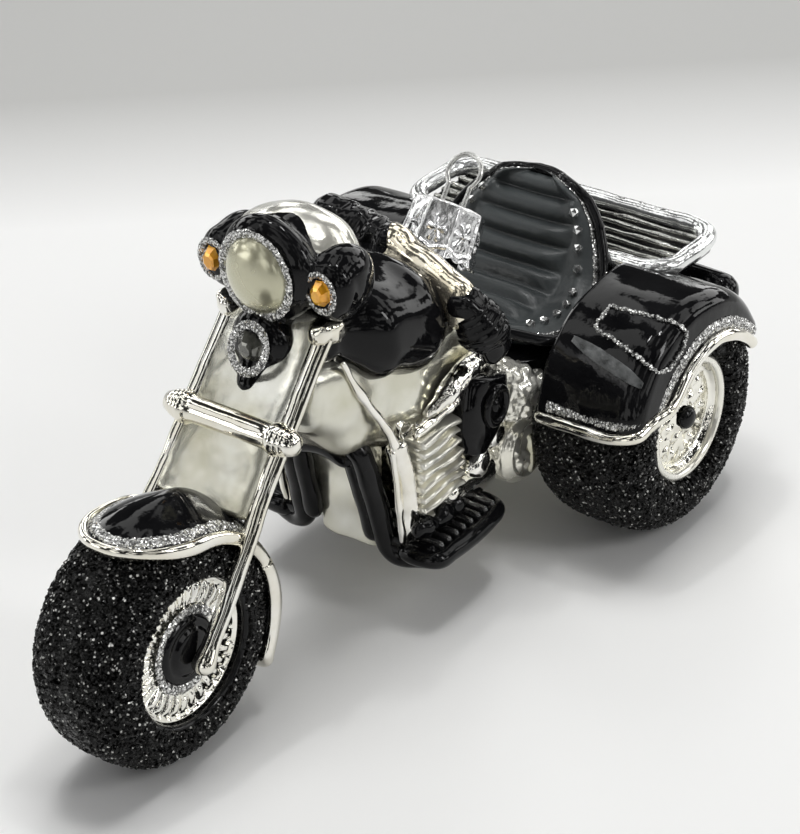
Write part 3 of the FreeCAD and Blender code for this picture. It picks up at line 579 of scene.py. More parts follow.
def read_table(table, share, slowly=False):
    """The row of a table at a first value, between its own rows in straight steps or in slow curves."""
    for low, high in zip(table, table[1:]):
        if share <= high[0] or high is table[-1]:
            part = min(1.0, max(0.0, (share - low[0]) / (high[0] - low[0])))
            if slowly:
                part = part * part * (3 - 2 * part)
            return [a + (b - a) * part for a, b in zip(low[1:], high[1:])]


def softened(table, share):
    """The row in straight steps, with the corners between the steps rounded."""
    places = [min(1.0, max(0.0, share + shift)) for shift in (-0.03, -0.015, 0.0, 0.015, 0.03)]
    rows = [read_table(table, place) for place in places]
    return [sum(row[index] for row in rows) / len(rows) for index in range(len(rows[0]))]


def rounded_body(front_y, length, half_width, low_z, height, table, power, columns, rows):
    """A closed body along Y through oblong sections whose width, foot and top the table gives."""

    def place(u, v):
        along = slow_share(v)
        width, foot, top = read_table(table, along, slowly=True)
        fade = end_fade(v, end_roundness)
        across, up = oblong(2 * math.pi * u, power)
        middle = (foot + top) / 2
        return spot(across * width * half_width * fade, front_y + along * length,
                    low_z + height * (middle + up * (top - foot) / 2 * fade))

    return bent_sheet(columns, rows, place)


def swept_body(start, end, sizes, power, columns, rows, side=sideways, up=upright, roundness=end_roundness):
    """A closed body between two points, from the half width, half height and rise of its sections."""
    start, end, side, up = Vector(start), Vector(end), Vector(side), Vector(up)

    def place(u, v):
        along = slow_share(v)
        half_width, half_height, rise = at_share(sizes, along)
        fade = end_fade(v, roundness)
        across, height = oblong(2 * math.pi * u, power)
        return spot(*(start.lerp(end, along) + side * across * half_width * fade
                      + up * (rise + height * half_height * fade)))

    return bent_sheet(columns, rows, place)


def pillow(x_low, x_high, y_low, y_high, z_low, z_high, corner):
    """A box with soft edges."""
    bm = bmesh.new()
    bmesh.ops.create_cube(bm, size=1.0)
    for vert in bm.verts:
        share = vert.co + Vector((0.5, 0.5, 0.5))
        vert.co = spot(x_low + share.x * (x_high - x_low), y_low + share.y * (y_high - y_low),
                       z_low + share.z * (z_high - z_low))
    bmesh.ops.bevel(bm, geom=bm.edges[:], offset=corner * millimetre, segments=3, profile=0.5,
                    affect="EDGES", material=-1, clamp_overlap=True)
    return bm


def glitter_band(path, inward, rise, width, seed, rows, closed=False):
    """A raised strip of flakes: path points in millimetres, and the ways in and up from each."""
    count = len(path)

    def place(u, v):
        index = round(u * (count if closed else count - 1)) % count
        bulge = math.sin(math.pi * v)
        return spot(*(path[index] + inward[index] * width * v + rise[index] * (0.35 * bulge - 0.15)))

    bm = bent_sheet(count if closed else count - 1, rows, place)
    roughen(bm, 0.09, seed)
    return bm


# Wheels
def tyre(name, stands_for, hub, half_width, outer, rim, depth, seed, steps):
    """A fat tyre spun from its profile, with its coat of flakes standing up at random."""
    shoulder = outer * 0.62
    tread_steps = round(steps * 0.24)
    profile = [(half_width - depth, rim), (half_width - depth * 0.3, (rim + shoulder) / 2)]
    for share in shares(tread_steps):
        across, up = oblong(math.pi * share, 2.8)
        profile.append((across * half_width, shoulder + (outer - shoulder - 0.15) * up))
    profile += [(depth * 0.3 - half_width, (rim + shoulder) / 2), (depth - half_width, rim)]
    bm = bmesh.new()
    ring = [bm.verts.new(spot(hub.x + x, hub.y, hub.z + radius)) for x, radius in profile]
    edges = [bm.edges.new(pair) for pair in zip(ring, ring[1:])]
    bmesh.ops.spin(bm, geom=ring + edges, cent=spot(*hub), axis=sideways, dvec=(0, 0, 0),
                   angle=2 * math.pi, steps=steps, use_merge=True, use_duplicate=False)
    dice = random.Random(seed)
    bm.normal_update()
    moves = []
    for vert in bm.verts:
        out = vert.normal * dice.uniform(-0.22, 0.2)
        moves.append((out + Vector([dice.uniform(-0.15, 0.15) for _ in range(3)])) * millimetre)
    for vert, move in zip(bm.verts, moves):
        vert.co += move
    add_piece(name, bm, "black_glitter", stands_for, smooth=False)


def wheel_face(hub, face_x, side, height_at, radius, columns, rows):
    """A round relief on a wheel's face: height_at(radius, angle) is how far each point stands out."""

    def place(u, v):
        reach = radius * v
        turn = 2 * math.pi * u
        return spot(*around(hub, hub.x + side * (face_x + height_at(reach, turn)), reach, turn))

    bm = bent_sheet(columns, rows, place)
    turn_outwards(bm, spot(*hub))
    return bm


def rim_ring(hub, x, radius, thickness, sides):
    """A thin ring about an axle."""
    path = oval(Vector((x, hub.y, hub.z)), upright * radius, rearward * radius, 120)
    return tube(path, thickness, sides, closed=True, across=sideways)


def front_wheel():
    tyre("front_tyre_coat", ["front_tyre"], front_hub, half_width=9.0, outer=20.0, rim=11.7, depth=2.1,
         seed=7, steps=300)
    petals = 30
    dice = random.Random(3)
    lifts = [dice.uniform(0.75, 1.1) for _ in range(petals)]

    def relief(reach, turn):
        lip = 0.9 * swell(reach, 11.4, 0.5)
        place = turn / (2 * math.pi) * petals
        offset = place - round(place)
        petal = max(0.0, 1 - (offset / 0.38) ** 4)
        span = max(0.0, 1 - ((reach - 8.9) / 1.9) ** 4)
        dent = 0.5 * swell(reach, 7.9, 0.45) * swell(offset, 0, 0.2)
        ring = 0.7 * swell(reach, 6.3, 0.6)
        return 0.1 + lip + 0.85 * lifts[round(place) % petals] * petal * span - dent + ring

    def dome(reach, turn):
        return 0.4 + 1.9 * max(0.0, 1 - (reach / 5.9) ** 2) ** 0.6 - 0.35 * swell(reach, 4.2, 0.5)

    face_x = 6.2
    faces = [wheel_face(front_hub, face_x, side, relief, 11.9, 360, 34) for side in (1, -1)]
    add_piece("front_rim_face", joined(faces), "silvered_glass", ["front_rim"])
    hubs = [wheel_face(front_hub, face_x, side, dome, 5.9, 72, 18) for side in (1, -1)]
    add_piece("front_hub_dome", joined(hubs), "black_glass", ["front_hub"])
    rings = [rim_ring(front_hub, side * 7.9, 12.35, 0.75, 10) for side in (1, -1)]
    add_piece("front_rim_surround", joined(rings), "black_glass")
    ways = [lean_way(-200 + step * 2.9) for step in range(90)]
    inward = [-way for way in ways]
    arcs = []
    for side in (1, -1):
        path = [front_hub + sideways * side * 7.1 + way * 7.2 for way in ways]
        arcs.append(glitter_band(path, inward, [sideways * side] * len(ways), 1.5, 11 + side, 4))
    add_glitter("front_hub_glitter", joined(arcs))


def rear_wheels():
    def relief(reach, turn):
        lip = 1.2 * min(1.0, max(0.0, (reach - 8.6) / 1.0)) ** 2
        beads = 0.75 * max(0.0, math.cos(turn * 7)) ** 2 * swell(reach, 3.9, 0.9)
        outer = 0.6 * max(0.0, math.cos(turn * 14 + 0.4)) ** 2 * swell(reach, 6.6, 0.8)
        spokes = 0.35 * math.cos(turn * 7 + math.pi) * swell(reach, 5.2, 1.0)
        boss = 0.9 * math.exp(-(reach / 2.6) ** 4)
        return lip + beads + outer + spokes + boss

    def dome(reach, turn):
        return 0.6 + 1.5 * max(0.0, 1 - (reach / 2.1) ** 2) ** 0.5

    discs, hubs, lips = [], [], []
    for side, word in ((1, "left"), (-1, "right")):
        hub = Vector((side * rear_hub.x, rear_hub.y, rear_hub.z))
        tyre("rear_tyre_coat_" + word, ["rear_tyre_" + word], hub, half_width=11.0, outer=21.0, rim=10.6,
             depth=2.6, seed=20 + side, steps=310)
        discs.append(wheel_face(hub, 7.5, side, relief, 9.7, 260, 40))
        lips.append(rim_ring(hub, hub.x + side * 8.9, 10.3, 0.85, 12))
        hubs.append(wheel_face(hub, 8.0, side, dome, 2.1, 48, 12))
    add_piece("rear_rim_relief", joined(discs), "silvered_glass", ["rear_rims"])
    add_piece("rear_rim_lips", joined(lips), "silvered_glass", material=cream_silver)
    add_piece("rear_hub_domes", joined(hubs), "black_glass", ["rear_hubs"])


# Front fender: half width in millimetres, angles in degrees from straight up, and shares of its outline
brim_half = 9.0
nose_angle, nose_length, nose_power, nose_share = 13.0, 35.0, 2.3, 0.66
tail_angle, tail_length, tail_power, tail_share = 119.0, 9.0, 4.0, 0.08
degrees_per_millimetre = 2.7


def front_fender_point(share, inset):
    """A point on the fender's outline, from its rear middle down one side round the front and back."""
    side = 1 if share < 0.5 else -1
    part = 1 - abs(share - 0.5) * 2
    half = side * (brim_half - inset)
    angle_inset = inset * degrees_per_millimetre
    if part < tail_share:
        across, up = oblong(math.pi / 2 * (1 - part / tail_share), tail_power)
        return front_fender_surface(half * across, tail_angle + (tail_length - angle_inset) * up)
    if part < nose_share:
        along = (part - tail_share) / (nose_share - tail_share)
        return front_fender_surface(half, tail_angle - (tail_angle - nose_angle) * along)
    across, up = oblong(math.pi / 2 * (part - nose_share) / (1 - nose_share), nose_power)
    return front_fender_surface(half * across, nose_angle - (nose_length - angle_inset) * up)


def front_fender_half(angle):
    """Half the fender's width at an angle from straight up, round at the front and the rear."""
    nose, tail = max(0.0, (nose_angle - angle) / nose_length), max(0.0, (angle - tail_angle) / tail_length)
    return (brim_half * max(0.0, 1 - nose ** nose_power) ** (1 / nose_power)
            * max(0.0, 1 - tail ** tail_power) ** (1 / tail_power))


def front_fender_surface(x, angle):
    """A point on the fender's skin, which falls off sideways from a crest in front."""
    crest = 0.9 * swell(x, 0, 2.6) * swell(angle, 24, 16)
    radius = 22.2 - 4.4 * (abs(x) / 9.3) ** 2.2 + crest
    return around(front_hub, x, radius, math.radians(angle))


def front_fender():
    def place(u, v):
        angle = 53.0 - 75.0 * math.cos(math.pi * v)
        return spot(*front_fender_surface(front_fender_half(angle) * 0.97 * (2 * u - 1), angle))

    bm = bent_sheet(36, 150, place)
    give_wall(bm, spot(*front_hub), fender_wall)
    add_piece("front_fender_shell", bm, "black_glass", ["front_fender"])
    steps = 260
    outline = [front_fender_point(share, 0.0) for share in shares(steps)]
    wave = [0.80 + 0.2 * noise.noise(Vector((step * 0.05, 2, 0))) for step in range(steps + 1)]
    edge = tube(outline, lambda share: wave[round(share * steps)], 14, flat=1.5, across=(0, -0.4, 1))
    add_piece("front_fender_rolled_edge", edge, "silvered_glass", ["front_fender_edge"],
              material=silver_smooth)
    path = [front_fender_point(share, 0.7) for share in shares(steps)]
    inward = [(front_fender_point(share, 2.2) - point).normalized()
              for share, point in zip(shares(steps), path)]
    rise = [(point - Vector((point.x * 0.6, 0, front_hub.z))).normalized() for point in path]
    add_glitter("front_fender_glitter", glitter_band(path, inward, rise, 2.4, 5, 6))


# Fork
fork_up = lean_way(43)
fork_out = lean_way(43 - 90)


def on_fork(x, along, out=0.0):
    """A place by its distances along the fork from the front axle and out from it."""
    return Vector((x, 0, front_hub.z)) + fork_up * along + fork_out * out


def fork():
    panel = swept_body(on_fork(0, 20.5), on_fork(0, 54),
                       lambda share: (9.4 - 0.3 * share, 1.7 + 0.3 * share, 0.4), 3.0, 56, 70, up=fork_out)
    ripple_mesh(panel, 0.5, 9.0, 2)
    add_piece("fork_panel_glass", panel, "satin_silver", ["fork_panel"])
    path = smooth_path([on_fork(10.5, -1.0, 0), on_fork(10.4, 6, 0), on_fork(10.0, 15, 0.2),
                        on_fork(9.4, 25, 0.4), on_fork(9.2, 36, 0.6), on_fork(9.0, 46, 0.6),
                        on_fork(8.8, 53.5, 0.4)], 16)
    leg = tube(path, lambda share: 1.15 + 0.3 * share + 0.5 * swell(share, 0, 0.05), 16, flat=1.2,
               across=sideways)
    ripple_mesh(leg, 0.2, 4.4, 6)
    crown = ball(on_fork(9.0, 51.8, 0.6), 2.3, 3.4, 2.3, 32)
    crumple(crown, 6, 0.9)
    legs = joined([leg, crown])
    add_piece("fork_leg_glass", mirrored(legs), "silvered_glass", ["fork_legs"], material=silver_smooth)
    clamp_along, clamp_out = 34, 1.6
    rings = [tube([on_fork(-9.6 + step * 0.96, clamp_along, clamp_out) for step in range(21)],
                  lambda share: 2.2 + 0.4 * swell(abs(share - 0.5), 0.47, 0.06), 18, across=fork_out)]
    for side in (-1, 1):
        for step in range(3):
            x = side * (9.0 + step * 0.85)
            rings.append(tube([on_fork(x + shift, clamp_along, clamp_out) for shift in (-0.2, 0, 0.2)],
                              2.75 - 0.25 * step, 18, across=fork_out, cap_rings=2))
    add_piece("fork_clamp_glass", joined(rings), "silvered_glass", ["fork_clamp"], material=silver_smooth)


# Headlamp, signal lamps and horn
def glitter_ring(centre, radius_x, radius_z, width, seed, lean=0.0):
    """A band of flakes around a lamp that faces forward."""
    middle = Vector(centre)
    path = oval(middle, sideways * radius_x, rearward * lean + upright * radius_z, 110)
    inward = [(middle - point).normalized() for point in path]
    return glitter_band(path, inward, [-rearward] * len(path), width, seed, 5, closed=True)


def gem(centre, half_width, half_height, depth):
    """A cut stone facing forward."""
    sides = 8
    bm = bmesh.new()
    bmesh.ops.create_cone(bm, cap_ends=True, segments=sides, radius1=1.0, radius2=0.55, depth=1.0)
    table = [face for face in bm.faces if face.normal.z > 0.99]
    bmesh.ops.inset_region(bm, faces=table, thickness=0.16, depth=0.12, use_even_offset=True)
    shape = Matrix.Diagonal((half_width * millimetre, half_height * millimetre, depth * millimetre, 1))
    turned = Matrix.Rotation(math.radians(90), 4, "X") @ shape @ Matrix.Rotation(math.pi / sides, 4, "Z")
    bmesh.ops.transform(bm, verts=bm.verts, matrix=Matrix.Translation(spot(*centre)) @ turned)
    return bm


def headlamp():
    lamp, horn = (0, 30.1, 67.3), (0, 27.0, 56.3)
    signals = [(x, 32.4, 66.2) for x in (10.4, -10.4)]
    shapes = [ball((0, 38.6, 66.4), 9.4, 9.2, 8.2, 48), ball((0, 33.6, 67.2), 8.8, 3.9, 8.8, 48),
              ball((-0.2, 31.2, 55.4), 5.8, 3.8, 5.9, 32),
              tube([(-0.1, 32.2, 55.4), (0, 30.0, 52.4), (0, 27.6, 50.0)],
                   lambda share: 4.4 - 1.8 * share, 24, across=sideways),
              tube([(0, 36.0, 62), (0, 33.6, 58)], 4.2, 24, across=sideways)]
    for side in (1, -1):
        shapes.append(ball((side * 9.6, 38.4, 65.4), 4.6, 6.4, 6.0, 32, side * 5.0))
        shapes.append(ball((side * 10.3, 35.2, 65.8), 4.1, 3.0, 4.8, 32, side * 12.0))
    nacelle = melted(shapes, 0.36, 9)
    ripple_mesh(nacelle, 0.35, 6.0, 3)
    add_piece("headlamp_nacelle", nacelle, "black_glass", ["headlamp_shell", "signal_pods", "horn_housing"])
    rings = [glitter_ring(lamp, 7.1, 7.6, 1.5, 21)]
    rings += [glitter_ring(signal, 3.0, 3.6, 1.1, seed) for signal, seed in zip(signals, (22, 23))]
    rings.append(glitter_ring(horn, 4.0, 4.0, 1.5, 24, 1.7))
    add_glitter("lamp_glitter_rings", joined(rings))
    add_piece("headlamp_lens_dome", ball((0, 30.8, 67.3), 5.8, 2.9, 6.4, 48), "lens", ["headlamp_lens"])
    gems = [gem(signal, 2.1, 2.7, 1.8) for signal in signals]
    add_piece("signal_gem_stones", joined(gems), "amber_gem", ["signal_gems"], smooth=False)
    add_piece("horn_gem_stone", gem((0, 27.2, 56.3), 2.6, 2.7, 1.5), "dark_gem", ["horn_gem"], smooth=False)
    top = ball((0, 39.8, 67.2), 11.2, 7.8, 7.3, 56)
    ripple_mesh(top, 0.35, 5.0, 8)
    add_piece("headlamp_top_glass", top, "silvered_glass", ["headlamp_top"], material=cream_silver)


def handlebar():
    path = smooth_path([(-1.0, 64.9, 56.6), (3.0, 63.8, 55.6), (9.5, 62.3, 54.2), (14.8, 61.0, 52.6)], 12)
    bar = tube(path, lambda share: 2.9 + 0.12 * math.sin(share * 15), 26, flat=1.25)
    strip = tube([point + Vector((0.3, -0.9, -3.3)) for point in path], 1.35, 14, flat=0.9)
    riser = tube([on_fork(4.5, 49), (5.0, 50, 57.4), (5.6, 62.4, 55.2)], 1.0, 12, across=sideways)
    far_riser = tube([on_fork(-4.5, 49), (-4.6, 50, 57.6), (-3.0, 63.4, 55.6)], 1.0, 12, across=sideways)
    elbow = ball((15.6, 60.4, 51.4), 2.9, 2.9, 3.3, 28)
    whole = joined([bar, strip, riser, far_riser, elbow])
    ripple_mesh(whole, 0.3, 4.0, 4)
    add_piece("handlebar_glass", whole, "silvered_glass", ["handlebar", "lever"], material=gold_silver)

    def folds(share, seed):
        return 1 + 0.10 * noise.noise(Vector((share * 9, seed, 0)))

    far = tube(smooth_path([(-1.2, 64.9, 56.0), (-7.4, 65.2, 57.0), (-13.8, 65.6, 57.9)], 22),
               lambda share: 3.7 * folds(share, 1.0), 30)
    near = tube(smooth_path([(16.3, 60.6, 52.4), (17.6, 62.2, 48.6), (18.5, 63.3, 45.2)], 20),
                lambda share: (3.1 + 1.0 * math.sin(math.pi * share) ** 0.7) * folds(share, 5.0), 30,
                across=sideways)
    for grip, word in ((far, "right"), (near, "left")):
        ripple_mesh(grip, 0.7, 2.6, 5)
        add_piece("grip_" + word + "_glass", grip, "black_glass", ["grip_" + word])


# Tank, spine and front of the frame
def tank_and_spine():
    tank = rounded_body(33.6, 36.8, 14.7, 39.8, 22.0, (
        (0.0, 0.22, 0.66, 0.86), (0.1, 0.62, 0.46, 0.94), (0.32, 0.98, 0.16, 1.0), (0.58, 1.0, 0.0, 0.93),
        (0.82, 0.8, 0.06, 0.78), (1.0, 0.5, 0.2, 0.6)), 2.5, 96, 90)
    ripple_mesh(tank, 0.5, 9.0, 9)
    add_piece("tank_glass", tank, "black_glass", ["tank"])
    spine = rounded_body(33.0, 47.0, 11.2, 25.5, 26.5, (
        (0.0, 0.62, 0.52, 1.0), (0.2, 0.82, 0.2, 1.0), (0.5, 1.0, 0.0, 0.92), (1.0, 1.0, 0.0, 0.55)), 3.4,
        72, 72)
    ripple_mesh(spine, 0.7, 6.0, 1)
    add_piece("spine_glass", spine, "satin_silver", ["spine"])
    panel = swept_body((0, 46.6, 35.5), (0, 50.6, 9.8),
                       lambda share: (6.9, 3.2 - 0.9 * math.sin(math.pi * share), 0.0), 4.0, 56, 56,
                       up=-rearward)
    ripple_mesh(panel, 0.5, 5.0, 12)
    add_piece("front_panel_glass", panel, "satin_silver", ["front_panel"])


def guard_path(inset, out):
    """The guard bars' line from one footboard over the top to the other, drawn in and set out."""
    low, top = 8.3 - inset, 7.5 - inset
    half = [(15.8, 48.6, 11.9 + inset * 0.4), (11.2, 47.6 - out, 11.0 + inset),
            (low + 0.6, 46.9 - out, 12.4 + inset), (low, 46.3 - out, 15.5), (low - 0.3, 44.9 - out, 22.5),
            (top, 43.4 - out, 29.6), (top - 0.9, 42.8 - out, 32.2 - inset),
            (top - 3.4, 42.7 - out, 33.0 - inset)]
    return smooth_path(half + [(-x, y, z) for x, y, z in reversed(half)], 10)


def frame_front():
    bars = joined([tube(guard_path(inset, out), radius, 18, across=(0, -1, 0.2))
                   for inset, out, radius in ((0.0, 0.0, 1.95), (2.1, 0.2, 1.7))])
    ripple_mesh(bars, 0.2, 4.0, 3)
    add_piece("guard_bar_glass", bars, "black_glass", ["guard_bars"])
    upper_line = [(8.6, 38.7, 50.6), (9.8, 41.2, 44.0), (11.4, 44.6, 36.8), (12.2, 46.4, 31.6)]
    upper = tube(smooth_path(upper_line, 12), lambda share: 0.6 + 0.3 * share, 14, across=sideways)
    blade_line = [(12.0, 46.2, 32.6), (12.4, 47.4, 26.0), (12.4, 47.6, 20.0), (12.2, 47.8, 14.6)]
    blade = tube(smooth_path(blade_line, 10), 1.1, 18, flat=1.6, across=(0.78, 0.62, 0))
    ridge_line = [(12.0, 45.2, 32.0), (12.2, 45.4, 26.0), (12.2, 45.8, 20.0), (12.0, 46.4, 15.0)]
    ridge = tube(smooth_path(ridge_line, 10), 0.6, 12, across=sideways)
    tubes = joined([upper, blade, ridge])
    ripple_mesh(tubes, 0.35, 2.8, 7)
    add_piece("downtube_glass", mirrored(tubes), "silvered_glass", ["downtubes"], material=silver_smooth)


# Engine
def cylinder_fins():
    low, middle = 15.8, 23.5
    fins = []
    for step in range(9):
        z = low + step * 2.0
        lean = (z - middle) * 0.07
        fin = swept_body((11.6, 48.8 + lean, z), (11.6, 60.2 + lean, z),
                         lambda share: (3.5, 0.72, 0.25 * math.sin(share * 7 + step * 1.3)), 3.0, 20, 36)
        ripple_mesh(fin, 0.2, 3.2, 30 + step)
        fins.append(fin)
    fins.append(swept_body((11.0, 49.4, middle), (11.0, 59.6, middle), (2.9, 8.6, 0.0), 4.0, 24, 24))
    add_piece("cylinder_fins", mirrored(joined(fins)), "silvered_glass", ["cylinders"], material=cream_silver)


def air_cleaner():
    along = lean_way(18)
    flat = sideways.cross(along)
    centre = Vector((14.2, 64.6, 30.2))
    cleaner = swept_body(centre - along * 6.8, centre + along * 6.9,
                         lambda share: (1.6 + 4.2 * math.sin(math.pi * (0.12 + 0.6 * share)) ** 1.2,
                                        1.8 + 1.6 * math.sin(math.pi * (0.1 + 0.62 * share)), 0.0),
                         2.4, 40, 40, side=flat, up=sideways)
    ripple_mesh(cleaner, 0.3, 3.0, 4)
    bulge = centre + along * 2.2
    lip = oval(bulge + sideways * 3.5, flat * 2.5, along * 3.0, 48)
    ring = tube(lip, 0.75, 12, closed=True, across=sideways)
    stud = ball(bulge + sideways * 3.0, 1.2, 1.3, 1.5, 20)
    add_piece("air_cleaner_glass", mirrored(joined([cleaner, ring, stud])), "black_glass", ["air_cleaners"])


def engine():
    block = swept_body((0, 48.6, 23.2), (0, 78.5, 23.2),
                       lambda share: (11.4 + 1.2 * share, 12.6, 0.0), 5.0, 220, 100)
    crumple(block, 5, 0.75)
    add_piece("engine_relief", block, "silvered_glass", ["engine_block"])
    cylinder_fins()
    rocker_line = [(12.4, 54.5, 34.4), (13.2, 58.0, 36.6), (13.2, 62.5, 38.3), (12.6, 68.0, 38.2),
                   (12.6, 73.0, 36.4)]
    rocker = tube(smooth_path(rocker_line, 12), lambda share: 1.1 + 0.8 * math.sin(math.pi * share), 20)
    low_line = [(12.8, 50.6, 33.2), (13.8, 55.5, 34.2), (13.8, 60.0, 34.8)]
    low = tube(smooth_path(low_line, 10), 0.9, 14)
    relief = swept_body((13.4, 70.0, 31.5), (16.2, 81.5, 25.0),
                        lambda share: (2.8 + share, 6.4 - 1.8 * share, 0.0), 2.6, 90, 90)
    crumple(relief, 9, 1.8)
    add_piece("engine_side_relief", mirrored(relief), "silvered_glass", material=cream_silver)
    sweep = joined([rocker, low])
    crumple(sweep, 8, 0.5)
    add_piece("rocker_glass", mirrored(sweep), "silvered_glass")
    air_cleaner()

    def stamped(reach, turn):
        drop = 9.0 * max(0.0, (reach - 6.4) / 0.6) ** 2 + 1.2 * max(0.0, (reach - 5.0) / 1.6) ** 2
        figure = 1.1 * noise.noise(Vector((reach * math.cos(turn), reach * math.sin(turn), 4)) / 1.7)
        return 15.6 - drop + 0.5 * swell(reach, 4.9, 0.45) + figure * max(0.0, 1 - (reach / 4.6) ** 4)

    covers = [wheel_face(Vector((0, 76.4, 17.6)), 0.0, side, stamped, 7.0, 110, 48) for side in (1, -1)]
    add_piece("drive_cover_glass", joined(covers), "satin_silver", ["drive_covers"], material=cream_silver)
    cases = joined([tube([(11.2, 55.5, 17.0), (11.4, 61.5, 16.6), (11.2, 68.0, 17.4)],
                         lambda share: 3.6 + 0.6 * math.sin(share * 9), 30),
                    ball((12.6, 57.6, 18.4), 2.8, 3.4, 2.8, 24), ball((12.9, 65.0, 20.2), 2.6, 3.2, 2.6, 24),
                    ball((12.6, 70.5, 23.0), 2.4, 3.0, 3.2, 24)])
    crumple(cases, 2, 0.7)
    add_piece("crank_case_glass", mirrored(cases), "silvered_glass", ["crank_cases"])


def footboards():
    plate = pillow(11.0, 18.4, 46.4, 65.0, 11.3, 12.9, 0.8)
    frame_line = [(17.0, 46.9), (18.2, 48.4), (18.4, 52), (18.4, 60), (17.8, 63.6), (16.4, 65.0),
                  (14.2, 65.4), (12.0, 64.8), (11.3, 63.0), (11.2, 57), (11.2, 50), (11.7, 47.6),
                  (13.4, 46.6)]
    rail = tube(smooth_path([(x, y, 12.7) for x, y in frame_line], 6, closed=True), 1.6, 16, closed=True)
    board = joined([plate, rail])
    ripple_mesh(board, 0.25, 3.0, 3)
    add_piece("footboard_glass", mirrored(board), "black_glass", ["footboards"])
    ribs = [tube([(12.4 + part, 49.4 + step * 2.02, 14.0) for part in range(6)], 0.55, 12, flat=1.7)
            for step in range(8)]
    # The ribs take the lighter paint, a painted sheen on the black ribs
    add_piece("footboard_ribs", mirrored(joined(ribs)), "black_glass", material=rib_paint)
    pedal_line = [(14.8, 47.2, 17.6), (15.2, 51.0, 16.8), (15.0, 54.5, 17.4), (14.6, 57.0, 16.6)]
    pedal = tube(smooth_path(pedal_line, 8), lambda share: 1.5 + 0.35 * math.sin(share * 14), 18)
    arm = tube([(13.2, 50.0, 13.5), (14.6, 50.5, 16.6)], 1.2, 14, across=rearward)
    pedals = joined([pedal, arm])
    ripple_mesh(pedals, 0.5, 2.2, 9)
    add_piece("pedal_glass", mirrored(pedals), "black_glass", ["pedals"])


# Seat: rows of share from front to crown, half width, place along the trike and height
seat_back_way = lean_way(32 - 90)
rolls_start, rolls_end, roll_count = 0.2, 0.97, 8.0
seat_rim = (
    (0.00, 0.0, 71.0, 39.8), (0.03, 5.0, 71.3, 39.9), (0.08, 9.2, 73.6, 39.8), (0.16, 13.0, 76.6, 38.8),
    (0.26, 17.8, 80.2, 36.9), (0.36, 19.3, 84.8, 36.2), (0.48, 19.1, 91.4, 37.0), (0.58, 17.6, 96.8, 39.6),
    (0.68, 15.6, 99.8, 43.4), (0.80, 13.2, 102.2, 47.2), (0.90, 9.2, 104.4, 50.6), (0.96, 5.2, 105.6, 52.0),
    (1.00, 0.0, 106.0, 52.6))
seat_middle = (
    (0.00, 71.0, 39.8), (0.08, 74.0, 38.6), (0.16, 77.5, 37.6), (0.26, 82.0, 36.8), (0.36, 86.5, 36.4),
    (0.48, 91.5, 37.2), (0.58, 95.2, 39.6), (0.68, 98.0, 43.0), (0.80, 101.0, 47.0), (0.90, 103.6, 50.4),
    (0.96, 105.2, 51.7), (1.00, 106.0, 52.6))


def on_seat(across, share, lift=0.0, padded=True):
    """A point on the bowl, from the middle (0) to either rim (-1, 1) and front (0) to crown (1)."""
    x, y, z = softened(seat_rim, share)
    middle_y, middle_z = softened(seat_middle, share)
    hollow = abs(across) ** 2.6
    out = upright.lerp(seat_back_way, min(1.0, max(0.0, (share - 0.45) / 0.2))).normalized()
    if padded:
        lift += 1.3 * swell(abs(across), 0.78, 0.14)
    if padded and rolls_start < share < rolls_end:
        level = (share - rolls_start) / (rolls_end - rolls_start) * roll_count
        reach = max(0.0, 1 - (abs(x * across) / (10.4 - 2.2 * abs(share - 0.55))) ** 5)
        lift += 1.9 * abs(math.sin(math.pi * level)) ** 0.6 * reach
    foot = Vector((x * across, middle_y + (y - middle_y) * hollow, middle_z + (z - middle_z) * hollow))
    return foot + out * lift


def seat():
    def place(u, v):
        share = slow_share(v)
        if u <= 0.5:
            return spot(*on_seat(math.sin(math.pi / 2 * (4 * u - 1)), share))
        across = math.sin(math.pi / 2 * (3 - 4 * u))
        thickness = 3.0 * (1 - across ** 6) * min(1.0, math.sin(math.pi * share) * 4)
        return spot(*on_seat(across, share, -thickness, False))

    add_piece("seat_glass", bent_sheet(200, 170, place), "black_matt", ["seat"])
    right = [on_seat(1.0, slow_share(share), -0.3) for share in shares(90)]
    left = [Vector((-point.x, point.y, point.z)) for point in reversed(right[1:-1])]
    piping = tube(right + left, 1.0, 14, closed=True, across=(0, 0.35, 1))
    add_piece("seat_piping_glass", piping, "black_glass", ["seat_piping"])
    bands = []
    steps = [0.03 + 0.96 * share for share in shares(200)]
    for side in (1, -1):
        path = [on_seat(side * 0.955, share, 0.15) for share in steps]
        inward = [(on_seat(side * 0.9, share, 0.15) - point).normalized()
                  for share, point in zip(steps, path)]
        out = [(on_seat(side * 0.955, share, 1.0) - point).normalized()
               for share, point in zip(steps, path)]
        bands.append(glitter_band(path, inward, out, 0.8, 31 + side, 3))
    add_glitter("seat_glitter_line", joined(bands))
    line = [on_seat(1.0, 0.36 + 0.26 * share, 0.1) + sideways * 0.9 for share in shares(30)]
    add_piece("seat_silver_line", mirrored(tube(line, 0.3, 8)), "silvered_glass")
    stones = []
    for side in (1, -1):
        for share in (0.26, 0.32, 0.385, 0.445, 0.51, 0.61, 0.69, 0.765, 0.83):
            foot, above = on_seat(side * 0.78, share, 0.25), on_seat(side * 0.78, share, 1.0)
            turn = (above - foot).to_track_quat("Z", "Y").to_matrix().to_4x4()
            stones.append(bead(foot, 0.9, turn))
    add_piece("seat_crystal_stones", joined(stones), "clear_gem", ["seat_crystals"], smooth=False)


